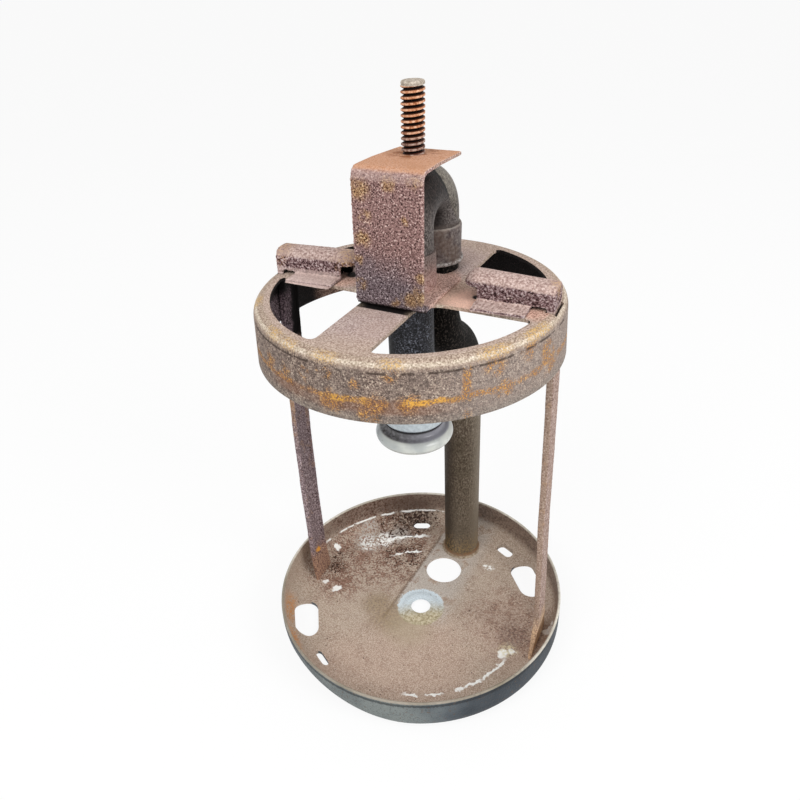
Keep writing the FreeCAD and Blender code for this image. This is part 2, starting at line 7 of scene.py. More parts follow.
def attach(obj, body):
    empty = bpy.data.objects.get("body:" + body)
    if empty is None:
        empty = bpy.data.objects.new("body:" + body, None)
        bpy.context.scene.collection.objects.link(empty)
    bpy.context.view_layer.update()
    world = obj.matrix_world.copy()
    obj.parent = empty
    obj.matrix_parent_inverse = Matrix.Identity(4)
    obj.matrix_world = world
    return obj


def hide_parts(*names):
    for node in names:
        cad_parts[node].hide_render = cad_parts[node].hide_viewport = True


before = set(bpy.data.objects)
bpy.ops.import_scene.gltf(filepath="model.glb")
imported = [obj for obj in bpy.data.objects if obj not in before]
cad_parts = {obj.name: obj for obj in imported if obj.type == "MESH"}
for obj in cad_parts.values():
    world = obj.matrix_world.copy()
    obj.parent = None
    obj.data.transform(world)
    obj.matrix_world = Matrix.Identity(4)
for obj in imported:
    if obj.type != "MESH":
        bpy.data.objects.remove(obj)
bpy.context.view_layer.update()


# Base pan: a shallow dish pressed from plated steel sheet, with a raised ring round its centre hole
# and a low step near its wall. Inside, the plating is rusted away in blotches, and a bare wedge of it
# is left by the supply hole. Outside it is dull slate grey, and its thin rim is worn bright.
MM = 0.001
SHARP = math.radians(40)


class Wire:
    """One socket in a material's node tree. Sums on it add Math nodes, other methods add other nodes."""

    def __init__(self, tree, socket=None):
        self.tree = tree
        self.socket = socket

    def node(self, kind, settings, feeds, out=0):
        """Add a node, set it up, feed its sockets by name or number, and return one of its outputs."""
        made = self.tree.nodes.new("ShaderNode" + kind)
        for name, setting in settings.items():
            if name == "stops":
                made.color_ramp.elements.remove(made.color_ramp.elements[1])
                made.color_ramp.elements[0].position = setting[0][0]
                made.color_ramp.elements[0].color = tone(setting[0][1])
                for place, code in setting[1:]:
                    made.color_ramp.elements.new(place).color = tone(code)
            else:
                setattr(made, name, setting)
        for name, fed in feeds.items():
            if isinstance(fed, Wire):
                self.tree.links.new(fed.socket, made.inputs[name])
            else:
                made.inputs[name].default_value = fed
        return Wire(self.tree, made.outputs[out]) if made.outputs else None

    def maths(self, operation, first, second=0.0):
        return self.node("Math", {"operation": operation}, {0: first, 1: second})

    def __add__(self, other):
        return self.maths("ADD", self, other)

    def __sub__(self, other):
        return self.maths("SUBTRACT", self, other)

    def __rsub__(self, other):
        return self.maths("SUBTRACT", other, self)

    def __mul__(self, other):
        return self.maths("MULTIPLY", self, other)

    def __or__(self, other):
        return self.maths("MAXIMUM", self, other)

    __radd__ = __add__
    __rmul__ = __mul__

    def step(self, low, high):
        """Rise smoothly from 0 to 1 between two values, or fall if the first is the higher."""
        feeds = {"Value": self, "From Min": low, "From Max": high}
        return self.node("MapRange", {"interpolation_type": "SMOOTHSTEP"}, feeds)

    def band(self, middle, half, soft):
        """A mask that is 1 within half of a middle value and fades over soft."""
        return self.maths("ABSOLUTE", self - middle).step(half + soft, half)

    def mix(self, first, second):
        """Blend two colours, with this mask as the share of the second."""
        feeds = {0: self, 6: first, 7: second}
        for name in (6, 7):
            if isinstance(feeds[name], str):
                feeds[name] = tone(feeds[name])
        return self.node("Mix", {"data_type": "RGBA"}, feeds, 2)

    def ramp(self, *stops):
        """Colour by value, through stops of a value and a colour."""
        return self.node("ValToRGB", {"stops": stops}, {0: self})

    def noise(self, scale, detail=2.0, roughness=0.55):
        """Cloudy noise at this place, with its scale in waves per millimetre."""
        feeds = {"Vector": self, "Scale": scale, "Detail": detail, "Roughness": roughness}
        return self.node("TexNoise", {}, feeds)

    def moved(self, shift, stretch=(1, 1, 1)):
        """This place shifted and stretched, so that a pattern differs or runs one way."""
        return self.node("Mapping", {}, {"Vector": self, "Location": shift, "Scale": stretch})

    def ragged(self, scale, amount):
        """This place pushed about by noise, so that round masks on it come out uneven."""
        push = self.node("TexNoise", {}, {"Vector": self, "Scale": scale, "Detail": 2.0}, "Color")
        push = self.node("VectorMath", {"operation": "SUBTRACT"}, {0: push, 1: (0.5, 0.5, 0.5)})
        push = self.node("VectorMath", {"operation": "SCALE"}, {0: push, "Scale": amount})
        return self.node("VectorMath", {"operation": "ADD"}, {0: self, 1: push})

    def spot(self, centre, inner, outer):
        """A round mask about a point in millimetres, full inside one radius and gone at the other."""
        away = self.node("VectorMath", {"operation": "DISTANCE"}, {0: self, 1: centre}, 1)
        return away.step(outer, inner)

    def spots(self, places):
        """The round masks of several points together, each given as its centre and two radii."""
        mask = self.spot(*places[0])
        for place in places[1:]:
            mask = mask | self.spot(*place)
        return mask

    def axes(self):
        """The three coordinates of this place."""
        return [self.node("SeparateXYZ", {}, {0: self}, out) for out in range(3)]

    def reach(self):
        """Distance from the upright axis."""
        flat = self.node("VectorMath", {"operation": "MULTIPLY"}, {0: self, 1: (1, 1, 0)})
        return self.node("VectorMath", {"operation": "LENGTH"}, {0: flat}, 1)

    def pointed(self):
        """How far the surface stands out there, from 0 in a pit over 0.5 on the flat to 1 on a peak."""
        return self.node("NewGeometry", {}, {}, "Pointiness")

    def facing(self, way):
        """How far the surface faces a fixed direction, from -1 to 1."""
        normal = self.node("NewGeometry", {}, {}, "Normal")
        return self.node("VectorMath", {"operation": "DOT_PRODUCT"}, {0: normal, 1: way}, 1)

    def outward(self):
        """How far the surface faces away from the upright axis, from -1 to 1."""
        flat = self.node("VectorMath", {"operation": "MULTIPLY"}, {0: self, 1: (1, 1, 0)})
        return self.facing(self.node("VectorMath", {"operation": "NORMALIZE"}, {0: flat}))


def tone(code):
    """A colour written as on a screen, turned to the linear values that shaders take."""
    parts = [int(code[at:at + 2], 16) / 255 for at in (0, 2, 4)]
    return [part / 12.92 if part <= 0.04045 else ((part + 0.055) / 1.055) ** 2.4 for part in parts] + [1.0]


def cleared(holder):
    """Clear the nodes of a material or of the world, and return a start for new ones."""
    holder.use_nodes = True
    holder.node_tree.nodes.clear()
    return Wire(holder.node_tree)


def start_finish(name):
    """Start a material, and return it with the place on the piece in millimetres."""
    made = bpy.data.materials.new(name)
    place = cleared(made).node("TexCoord", {}, {}, "Object")
    return made, place.node("VectorMath", {"operation": "SCALE"}, {0: place, "Scale": 1 / MM})


def end_finish(made, colour, roughness, metallic, height, depth, gloss=0.2):
    """Close a material with its shader. Height from 0 to 1 stands for a relief of depth in millimetres."""
    bump = height.node("Bump", {}, {"Strength": 1.0, "Distance": depth * MM, "Height": height})
    feeds = {"Base Color": colour, "Roughness": roughness, "Metallic": metallic, "Normal": bump}
    shader = height.node("BsdfPrincipled", {}, feeds | {"Specular IOR Level": gloss})
    height.node("OutputMaterial", {}, {"Surface": shader})


def dress(piece, finish):
    """Give a piece its one material."""
    if not piece.material_slots:
        piece.data.materials.append(finish)
    for held in piece.material_slots:
        held.material = finish


def turned(name, profile, steps, across=0.0, back=0.0):
    """Turn a closed profile of (radius, height) points in millimetres about an upright axis."""
    bpy.ops.object.select_all(action="DESELECT")
    bpy.ops.mesh.primitive_plane_add(size=MM)
    piece = bpy.context.object
    piece.name = name
    bpy.ops.object.mode_set(mode="EDIT")
    bpy.ops.mesh.merge(type="CENTER")
    points = [Vector((across + radius, back, height)) * MM for radius, height in profile]
    bpy.ops.transform.translate(value=points[0])
    for last, point in zip(points, points[1:] + points[:1]):
        bpy.ops.mesh.extrude_region_move(TRANSFORM_OT_translate={"value": point - last})
    bpy.ops.mesh.select_all(action="SELECT")
    bpy.ops.mesh.spin(steps=steps, angle=math.tau, center=(across * MM, back * MM, 0), axis=(0, 0, 1))
    bpy.ops.mesh.select_all(action="SELECT")
    bpy.ops.mesh.remove_doubles(threshold=0.005 * MM)
    bpy.ops.mesh.normals_make_consistent(inside=False)
    bpy.ops.object.mode_set(mode="OBJECT")
    smoothed(piece)
    return piece


def smoothed(piece):
    """Shade a piece smooth, apart from its sharp edges."""
    bpy.ops.object.select_all(action="DESELECT")
    piece.select_set(True)
    bpy.context.view_layer.objects.active = piece
    bpy.ops.object.shade_smooth_by_angle(angle=SHARP)


def changed(piece, kind, **settings):
    """Put a modifier on a piece and apply it."""
    change = piece.modifiers.new(kind.lower(), kind)
    for name, setting in settings.items():
        setattr(change, name, setting)
    bpy.context.view_layer.objects.active = piece
    bpy.ops.object.modifier_apply(modifier=change.name)


def joined(piece, other, operation):
    """Cut another mesh out of a piece, or weld it on, and delete the other."""
    changed(piece, "BOOLEAN", operation=operation, solver="EXACT", object=other)
    bpy.data.objects.remove(other)


def arc(across, up, radius, start, end, count):
    """Points along an arc of a profile, from one angle to another in degrees."""
    angles = [math.radians(start + (end - start) * index / count) for index in range(count + 1)]
    return [(across + radius * math.cos(angle), up + radius * math.sin(angle)) for angle in angles]


def along(start, end, count):
    """Points along a straight run of a profile, without its two ends."""
    return [
        tuple(first + (last - first) * index / count for first, last in zip(start, end))
        for index in range(1, count)
    ]


def slot_cutter(reach, angle, length, width):
    """A round-ended bar that stands upright, across the way out from the axis at an angle."""
    turn = math.radians(angle)
    out = Vector((math.cos(turn), math.sin(turn), 0))
    side = Vector((-out.y, out.x, 0))
    bpy.ops.object.select_all(action="DESELECT")
    bpy.ops.mesh.primitive_cylinder_add(
        vertices=48, radius=width / 2 * MM, depth=CUTTER_HEIGHT * MM, location=out * reach * MM
    )
    cutter = bpy.context.object
    for way in (1, -1):
        bpy.ops.object.mode_set(mode="EDIT")
        bpy.ops.mesh.select_all(action="DESELECT")
        bpy.ops.object.mode_set(mode="OBJECT")
        for vertex in cutter.data.vertices:
            vertex.select = way * vertex.co.dot(side) > 0
        bpy.ops.object.mode_set(mode="EDIT")
        bpy.ops.transform.translate(value=side * way * (length - width) / 2 * MM)
    bpy.ops.object.mode_set(mode="OBJECT")
    return cutter


PAN_RADIUS = 52.5
PAN_SHEET = 0.9
PAN_RIM = 15.2
CENTRE_HOLE = 3.8
HOLE_RING = 8.4
FLOOR_EDGE = 38.0
FLOOR_STEP = 0.45
SHELF_EDGE = 41.0
CUTTER_HEIGHT = 40
DENT_ANGLE = 246
DENT_HALF = 48
INNER_ROUND = 7.5
OUTER_ROUND = 7.0
rim_half = PAN_SHEET / 2
wall_inside = PAN_RADIUS - PAN_SHEET
shelf = PAN_SHEET + FLOOR_STEP
pan_profile = [(CENTRE_HOLE, 1.7), (4.6, 1.75), (5.8, 1.65), (6.8, 1.3), (7.6, 0.98), (HOLE_RING, PAN_SHEET)]
pan_profile += along((HOLE_RING, PAN_SHEET), (FLOOR_EDGE, PAN_SHEET), 30)
pan_profile += [(FLOOR_EDGE, PAN_SHEET), (38.7, 0.94), (39.2, 1.08), (39.7, 1.25), (40.3, 1.34)]
pan_profile += [(SHELF_EDGE, shelf)] + along((SHELF_EDGE, shelf), (wall_inside - INNER_ROUND, shelf), 4)
pan_profile += arc(wall_inside - INNER_ROUND, shelf + INNER_ROUND, INNER_ROUND, -90, 0, 14)
pan_profile += along((wall_inside, shelf + INNER_ROUND), (wall_inside, PAN_RIM - rim_half), 5)
pan_profile += arc(PAN_RADIUS - rim_half, PAN_RIM - rim_half, rim_half, 180, 0, 6)
pan_profile += along((PAN_RADIUS, PAN_RIM - rim_half), (PAN_RADIUS, OUTER_ROUND), 5)
pan_profile += arc(PAN_RADIUS - OUTER_ROUND, OUTER_ROUND, OUTER_ROUND, 0, -90, 14)
pan_profile += along((PAN_RADIUS - OUTER_ROUND, 0), (8.2, 0), 12)
pan_profile += [(8.2, 0), (7.2, 0.3), (6.0, 0.75), (CENTRE_HOLE, 0.8)]
pan = turned("pan_dish", pan_profile, 240)


def roughened(piece, grain, depth, share):
    """Raise an uneven relief on a piece, with its grain and depth in millimetres.

    share gives how much of it there is at a place in millimetres and a normal.
    """
    group = piece.vertex_groups.new(name="rough")
    for vertex in piece.data.vertices:
        group.add([vertex.index], share(vertex.co / MM, vertex.normal), "REPLACE")
    relief = bpy.data.textures.new(piece.name + "_relief", "CLOUDS")
    relief.noise_scale = grain * MM
    relief.noise_depth = 1
    changed(piece, "DISPLACE", texture=relief, texture_coords="LOCAL", strength=depth * MM, mid_level=0.5,
            vertex_group=group.name)
    piece.vertex_groups.clear()


def pan_waviness(place, normal):
    """The pan is a little dented inside, round its floor and corner."""
    away = math.hypot(place.x, place.y)
    return 1.0 if 10 < away < 51 and 0.85 < place.z < 12 else 0.0


def leaned(piece, way, most, share):
    """Move a piece along an axis by a share of the most, in millimetres, at each place."""
    group = piece.vertex_groups.new(name="lean")
    for vertex in piece.data.vertices:
        group.add([vertex.index], share(vertex.co / MM), "REPLACE")
    changed(piece, "DISPLACE", direction=way, strength=most * MM, mid_level=0.0, vertex_group=group.name)
    piece.vertex_groups.clear()


def part_way(number, start, end):
    """How far a number lies on the way from one value to another, from 0 to 1."""
    return max(0.0, min(1.0, (number - start) / (end - start)))


def corner_dent(place):
    """The lower corner of the pan is knocked in at the front left."""
    around = math.degrees(math.atan2(place.y, place.x)) % 360
    near = part_way(abs(around - DENT_ANGLE), DENT_HALF, 0)
    low = part_way(place.z, 11, 2)
    out = part_way(math.hypot(place.x, place.y), SHELF_EDGE, 49)
    return near * near * (3 - 2 * near) * low * out


roughened(pan, 5.0, 0.22, pan_waviness)
MIX_REACH = 38.1
SUPPLY_HOLE = (22.0, 14.4, 14.4)
TUBE_HOLE = (MIX_REACH, 11.9, 11.9)
BACK_VENT = (46.2, 7.6, 4.0)
FRONT_VENT = (44.2, 7.4, 3.0)
SIDE_HOLE = (44.7, 17.8, 9.4)
for angle, (reach, length, width) in (
    (90, SUPPLY_HOLE), (90, TUBE_HOLE), (65, BACK_VENT), (115, BACK_VENT),
    (240, FRONT_VENT), (300, FRONT_VENT), (42.4, SIDE_HOLE), (213.6, SIDE_HOLE),
):
    joined(pan, slot_cutter(reach, angle, length, width), "DIFFERENCE")
for way, most in (("X", 0.8), ("Y", 1.8), ("Z", 1.6)):
    leaned(pan, way, most, corner_dent)
smoothed(pan)

pan_finish, where = start_finish("rusted_plated_pan")
x, y, z = where.axes()
reach = where.reach()
torn = where.ragged(0.45, 3.2)
cloud = where.noise(0.05, 3)
blotch = where.moved((40, 0, 0)).noise(0.22, 4, 0.6)
fleck = where.moved((0, 70, 0)).noise(1.1, 3, 0.6)
speck = where.moved((15, 0, 8)).noise(1.3, 3, 0.62)
fine = where.moved((0, 0, 30)).noise(2.4, 2, 0.6)
inside = fine.ramp((0.36, "998776"), (0.5, "b4a292"), (0.64, "c9baab"))
pink = where.spots((((8, -24, 1), 12, 32), ((36, 4, 1), 8, 26), ((-12, -36, 1), 6, 20)))
inside = (pink * 0.5).mix(inside, fine.ramp((0.36, "a08576"), (0.5, "b69b8b"), (0.64, "cab4a5")))
thick = where.spots((((-30, 24, 1), 14, 36), ((-38, 2, 1), 6, 20))) | where.spot((34, 8, 1), 6, 24) * 0.6
rust = (speck + thick * 0.1 + (blotch - 0.5) * 0.5).step(0.53, 0.62)
inside = (rust * (0.3 + thick * 0.6)).mix(
    inside, fleck.ramp((0.38, "57382c"), (0.5, "815f4f"), (0.62, "a28070"))
)
burnt = where.spots((((-27, 41, 3), 8, 20), ((-44, 4, 2), 3, 12), ((-18, 22, 1), 4, 18)))
black = (fleck + burnt * 0.14 + (blotch - 0.5) * 0.3).step(0.66, 0.71)
inside = black.mix(inside, "3a2820")
inside = (torn.spot((-24, 44, 4), 4, 12) * fleck.step(0.4, 0.52) * 0.8).mix(inside, "35241c")
bare = torn.spots((((-36, 24, 1), 3, 9), ((-26, 32, 1), 2, 7), ((-40, 30, 2), 2, 6)))
inside = (bare * fleck.step(0.56, 0.48) * 0.8).mix(inside, "c4bdb4")
edge_line = x - y * 0.035
wedge = edge_line.step(-10.6, -10.0) * x.step(15, 6) * y.step(-9, 0) * blotch.step(0.66, 0.5)
inside = (wedge * 0.85).mix(inside, fine.ramp((0.35, "a3978c"), (0.5, "bbb2a9"), (0.66, "cec6be")))
crease = edge_line.band(-10.4, 0.3, 0.6) * y.band(14, 24, 3) * fleck.step(0.4, 0.5)
inside = (crease * 0.7).mix(inside, "6b5647")
olive = where.spots((((-16, -6, 1), 2, 9), ((-9, -9, 1), 3, 12))) * 0.6
inside = olive.mix(inside, fleck.ramp((0.4, "715d49"), (0.6, "9c8866")))
inside = (where.spot((0, -11, 1), 3, 13) * 0.5).mix(inside, "ad9f86")
smudge = torn.spot((37.5, 1.5, 2), 2, 9)
inside = (smudge * fleck.step(0.62, 0.44) * 0.5).mix(inside, "67504b")
wall = z.step(4.5, 8.5)
inside = (wall * y.step(-5, 25) * 0.75).mix(
    inside, fleck.ramp((0.38, "453127"), (0.5, "6f5b50"), (0.64, "8a776b"))
)
orange = where.spots((((-44, -26, 4), 3, 10), ((-34, -38, 5), 2, 10))) * reach.step(47.5, 50)
inside = (orange * fleck.step(0.36, 0.56) * 0.8).mix(inside, "c2844a")
# Painted highlights: white glints of reflected light on the floor and corner, torn patches of them, and
# broken highlight arcs along the floor's step and the corner.
glint = torn.spots((
    ((-46, 13, 3), 1.3, 1.9), ((-35.2, -5.7, 1), 1.5, 2.2), ((-40.8, -4.8, 1), 0.8, 1.5),
    ((36.6, -7.4, 1), 1.4, 2.2), ((39.0, -5.2, 1), 0.8, 1.6), ((48.4, 7.6, 3.6), 1.6, 2.4),
    ((49.5, 10.4, 4.4), 0.7, 1.4), ((15, 31, 1), 0.6, 1.2),
))
glint_patches = torn.spots((((-36, 22, 1), 2.2, 5.0), ((-30.5, 27.2, 1), 2.4, 5.0), ((17, 30.5, 1), 0.5, 2.4)))
glint = glint | glint_patches * fleck.step(0.53, 0.47)
round_torn = torn.reach()
front_line = round_torn.band(39.3, 0.45, 0.4) * x.step(10, 13) * y.step(-7, -12)
back_line = round_torn.band(39.5, 0.25, 0.4) * y.step(24, 27) * x.step(-12, -17)
inner_line = round_torn.band(30.4, 0.25, 0.4) * y.step(19, 22) * x.step(-10, -14)
corner_line = (z + (blotch - 0.5) * 2).band(6.0, 0.2, 0.3) * y.step(9, 13) * x.step(-8, -14)
glint_arcs = (front_line | back_line | inner_line | corner_line) * blotch.step(0.42, 0.5)
glint = glint | glint_arcs
inside = glint.mix(inside, "fbfaf6")
# A painted cream glow beside the glints at the front right, a painted highlight.
inside = (torn.spot((37.5, -5, 1), 1.5, 4.5) * fleck.step(0.4, 0.56) * 0.6).mix(inside, "e2d8b2")
# The raised ring round the hole is yellowish on its near side. Its far side is painted paler and bluish, a
# painted reflection that also lifts the shade on its back slope.
ring = (reach + (fleck - 0.5) * 3).step(9.4, 8.8)
ring_near = fleck.ramp((0.36, "94876b"), (0.5, "b2a68a"), (0.64, "cbc0a6"))
ring_far = fine.ramp((0.4, "c6d2d9"), (0.6, "dbe6ec"))
ring_tone = (y - x * 0.6 + (fleck - 0.5) * 8).step(-6, 4).mix(ring_near, ring_far)
inside = (ring * (1 - black)).mix(inside, ring_tone)

slate = cloud.ramp((0.36, "3c434a"), (0.5, "4f565c"), (0.64, "636a6d"))
# Outside, the slate is painted lighter at the front and darker at the right, painted light and shade.
front = y.step(-22, -46) * x.step(-34, -12) * x.step(34, 14)
slate = (front * 0.8).mix(slate, cloud.ramp((0.36, "62696a"), (0.6, "808683")))
slate = (x.step(26, 44) * 0.9).mix(slate, cloud.ramp((0.4, "23292f"), (0.6, "343a41")))
slate = ((z + (fleck - 0.5) * 1.5).band(13.7, 0.35, 0.5) * 0.7).mix(slate, "1b1f23")
slate = (fleck.step(0.6, 0.68) * 0.7).mix(slate, "5f4c3e")
slate = (fine.step(0.54, 0.64) * 0.5).mix(slate, "33393d")
outer = where.outward().step(0.1, 0.4) * reach.step(20, 30) | where.facing((0, 0, -1)).step(0.05, 0.3)
colour = outer.mix(inside, slate)

rim = z.step(14.5, 14.75)
rim_front = cloud.ramp((0.4, "827969"), (0.6, "a0978a"))
rim_tone = y.step(-30, -5).mix(rim_front, cloud.ramp((0.4, "b9b2a4"), (0.6, "dcd6ca")))
colour = (rim * (0.75 + 0.25 * fleck.step(0.4, 0.5))).mix(colour, rim_tone)
shine = wedge * 0.35 | glint | ring * 0.5 | rim * 0.5 | outer * 0.3
end_finish(pan_finish, colour, 0.7 - shine * 0.4, shine * 0.2, fine * 0.4 + fleck * 0.6, 0.3)
dress(pan, pan_finish)
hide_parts("base_pan")
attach(pan, "frame")


# Mixing tube: drawn tube that stands on the pan and bends over to the burner in an S.
# It is tarnished to a dark olive brown, sooted nearly black at the S, and paler and golden at its foot.
TUBE_LEAN = 1.1
S_TOP = 135
S_FOOT = 85
# Directions of the painted highlight and the painted shade on the tubes and the nozzle.
LIT_WAY = (0.88, 0.48, 0)
SHADY_WAY = (-0.88, -0.48, 0)


def copied(node, name):
    """Copy a solid as a piece of its own, with its loose faces merged."""
    bpy.ops.object.select_all(action="DESELECT")
    piece = bpy.data.objects.new(name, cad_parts[node].data.copy())
    bpy.context.scene.collection.objects.link(piece)
    bpy.context.view_layer.objects.active = piece
    piece.select_set(True)
    bpy.ops.object.mode_set(mode="EDIT")
    bpy.ops.mesh.select_all(action="SELECT")
    bpy.ops.mesh.customdata_custom_splitnormals_clear()
    bpy.ops.mesh.remove_doubles(threshold=0.002 * MM)
    bpy.ops.object.mode_set(mode="OBJECT")
    return piece


def tube_lean(place):
    """The tube stands a little to the right, and comes back to the middle in its S."""
    return part_way(place.z, S_TOP, S_FOOT)


tube = copied("mixing_tube", "bent_tube")
leaned(tube, "X", TUBE_LEAN, tube_lean)
smoothed(tube)
tube_finish, where = start_finish("tarnished_tube")
z = where.axes()[2]
cloud = where.noise(0.09, 3)
fleck = where.moved((0, 50, 0), (1, 1, 0.6)).noise(1.8, 3, 0.6)
fine = where.moved((30, 0, 0)).noise(2.2, 2)
colour = fleck.ramp(
    (0.34, "3a2f25"), (0.44, "53483c"), (0.54, "625649"), (0.62, "716658"), (0.7, "887d6f")
)
colour = (cloud.step(0.42, 0.6) * 0.45).mix(colour, "4d4436")
# A painted highlight runs down the lit side, paler towards the foot, and painted shade runs down the other
# side.
pale = where.facing(LIT_WAY).step(0.2, 0.9) * 0.45 + z.step(50, 6) * 0.25
colour = pale.mix(colour, "857a6b")
colour = (where.facing(SHADY_WAY).step(0.35, 0.95) * 0.75).mix(colour, "2b2119")
colour = (z.step(16, 2) * fleck.step(0.42, 0.6) * 0.6).mix(colour, "9a7d4c")
soot = z.step(74, 96)
colour = (soot * 0.97).mix(colour, fleck.ramp((0.4, "020202"), (0.52, "0f0c0b"), (0.68, "564e49")))
end_finish(tube_finish, colour, 0.55 + fleck * 0.15 + soot * 0.2, 0.2 + soot * 0.5, fine + fleck, 0.16)
dress(tube, tube_finish)
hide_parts("mixing_tube")
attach(tube, "frame")


# Braze: the fillet of brass that was run round the foot of the mixing tube.
# It has dulled to the grey-tan of the pan, with a thin line of brown rust along the tube.
braze = copied("tube_braze", "braze_fillet")
leaned(braze, "X", TUBE_LEAN, tube_lean)
smoothed(braze)
braze_finish, where = start_finish("dull_braze")
fleck = where.noise(0.9, 3, 0.6)
colour = fleck.ramp((0.36, "6d5a49"), (0.5, "93836f"), (0.66, "a99d8d"))
tube_away = where.moved((-TUBE_LEAN, -MIX_REACH, 0)).reach()
colour = (tube_away.step(7.7, 7.2) * fleck.step(0.35, 0.5)).mix(colour, "7d6148")
end_finish(braze_finish, colour, 0.6 + fleck * 0.15, 0.2, fleck, 0.2)
dress(braze, braze_finish)
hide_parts("tube_braze")
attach(braze, "frame")


# Uprights: two strips of sheet pressed to a channel, welded to the pan at their feet.
# At the top they come up through the ring and are bent inward over it as hollow humps with a side tab.
# The shafts are violet-grey on the left and tan on the right, and the walls of the humps are deeply pitted.
RING_TOP = 135.6
FLARE_TOP = 17
SHAFT_MIDDLE = 60
CHANNEL_MIDDLE = 2
HUMP_NOSE = 18
HUMP_END = 46
BOW_FOOT = 15
BOW_TOP = 119


def worn(piece, cell):
    """Mesh a piece anew in even faces of a size in millimetres, which wears its edges round."""
    changed(piece, "REMESH", mode="VOXEL", voxel_size=cell * MM, use_smooth_shade=True)
    changed(piece, "SMOOTH", factor=0.5, iterations=2)


def shaft_bow(place):
    """The shafts are bowed between the pan and the ring."""
    return math.sin(math.pi * part_way(place.z, BOW_FOOT, BOW_TOP))


def low_lean(place):
    """Below their middle the shafts lean sideways to their feet."""
    return part_way(place.z, SHAFT_MIDDLE, 0)


def foot_share(place):
    """How far down its foot a place on an upright lies."""
    return part_way(place.z, FLARE_TOP, 0)


def foot_front(place):
    """The front edge of the channel opens out at the foot."""
    return foot_share(place) if place.y < CHANNEL_MIDDLE else 0.0


def foot_back(place):
    """The back edge opens out there too."""
    return foot_share(place) if place.y > CHANNEL_MIDDLE else 0.0


def over_ring(place):
    """How far along a hump a place lies, from its outer end to its nose."""
    return part_way(abs(place.x), HUMP_END, HUMP_NOSE) if place.z > RING_TOP + 0.2 else 0.0


def end_slump(place):
    """The top of the hump slopes down to its outer end."""
    high = part_way(place.z, RING_TOP + 1, RING_TOP + 7)
    return high * part_way(abs(place.x), HUMP_NOSE + 2, HUMP_END - 2)


def hump_pits(place, normal):
    """The humps' side walls are deeply pitted, the rest only a little."""
    on_wall = RING_TOP + 1 < place.z < RING_TOP + 5.4 and abs(normal.z) < 0.75
    return 1.0 if on_wall and abs(place.x) > HUMP_NOSE + 2 else 0.22


strap_finish, where = start_finish("rusted_strap")
x, y, z = where.axes()
blotch = where.moved((0, 20, 0)).noise(0.3, 3, 0.6)
fleck = where.moved((60, 0, 0)).noise(1.7, 2, 0.55)
fine = where.moved((0, 0, 50)).noise(2.4, 2, 0.6)
violet = fleck.ramp(
    (0.34, "453436"), (0.41, "6d5b5d"), (0.47, "817072"), (0.55, "8d7c7e"), (0.62, "a59395"),
    (0.7, "c8b9ba")
)
tan = fleck.ramp(
    (0.34, "5a463e"), (0.41, "846c62"), (0.47, "998177"), (0.55, "a48d83"), (0.62, "b8a398"),
    (0.7, "d3c4bb")
)
colour = x.step(-10, 10).mix(violet, tan)
front = where.facing((0, -1, 0)).step(0.4, 0.8)
colour = (front * x.step(0, -10) * z.step(60, 100) * blotch.step(0.4, 0.56) * 0.7).mix(colour, "a8845c")
colour = (front * x.step(0, 10) * 0.35).mix(colour, "a08a72")
ochre = blotch.step(0.58, 0.66) * fleck.step(0.4, 0.6)
colour = (ochre * 0.45).mix(colour, "a9825a")
foot = (z + (blotch - 0.5) * 12).step(19, 12)
brown = fleck.ramp((0.36, "5f4234"), (0.46, "8f6d5c"), (0.54, "a9846f"), (0.66, "caa27c"))
golden = fleck.ramp((0.36, "9b7c66"), (0.5, "d3b193"), (0.66, "efcda0"))
colour = (foot * 0.85).mix(colour, x.step(-10, 10).mix(brown, golden))
# The outer face of the right foot is painted lighter, a painted highlight on a face that the lamps leave
# shaded.
outer_side = where.facing((1, 0, 0)).step(0.2, 0.7) * x.step(0, 10)
colour = (foot * outer_side * 0.6).mix(colour, "f0d4b4")
colour = (where.ragged(0.8, 1.5).spot((-46, -1.5, 14.5), 1.0, 1.8)).mix(colour, "e0a04a")
# Where the left shaft runs up inside the ring it is painted near black as shade, and painted lighter
# violet-grey towards the front, where light comes in.
lit = (y + (blotch - 0.5) * 3).step(0.6, -1.0) * z.step(131, 126)
inside_ring = lit.mix("0c0808", fleck.ramp((0.36, "2a1f22"), (0.5, "5c4c52"), (0.64, "8b797f")))
colour = (x.step(0, -10) * z.step(108, 112)).mix(colour, inside_ring)

over = z.step(RING_TOP - 0.5, RING_TOP + 0.3)
grain = where.moved((0, 9, 0)).noise(1.5, 2, 0.6)
ridge = grain.ramp((0.36, "937973"), (0.46, "b39990"), (0.54, "c4aba3"), (0.66, "dcc8c0"))
point = where.pointed()
relief = (point - 0.5) * 1.5 + fleck
pits = relief.ramp(
    (0.36, "1d0e0f"), (0.43, "5a4041"), (0.5, "806465"), (0.57, "a08787"), (0.66, "d6c4c3")
)
up = where.facing((0, 0, 1))
right = x.step(-1, 1)
pits = (right * 0.25).mix(pits, "4a3536")
wall = up.step(0.6, 0.25) * z.band(RING_TOP + 3.0, 2.4, 0.8)
hump = wall.mix(ridge, pits)
torn = where.ragged(0.5, 4)
ends = torn.spots((((-42, -1, 141), 2, 6), ((-20, 0, 141), 2, 6), ((43, 3, 141), 1.5, 4)))
hump = (ends * grain.step(0.44, 0.56) * 0.65).mix(hump, fleck.ramp((0.36, "7d5a3c"), (0.6, "c89f66")))
hump = (z.step(138.2, 137.6) * x.step(-20, -24) * 0.5).mix(hump, "d8c2bb")
colour = over.mix(colour, hump)
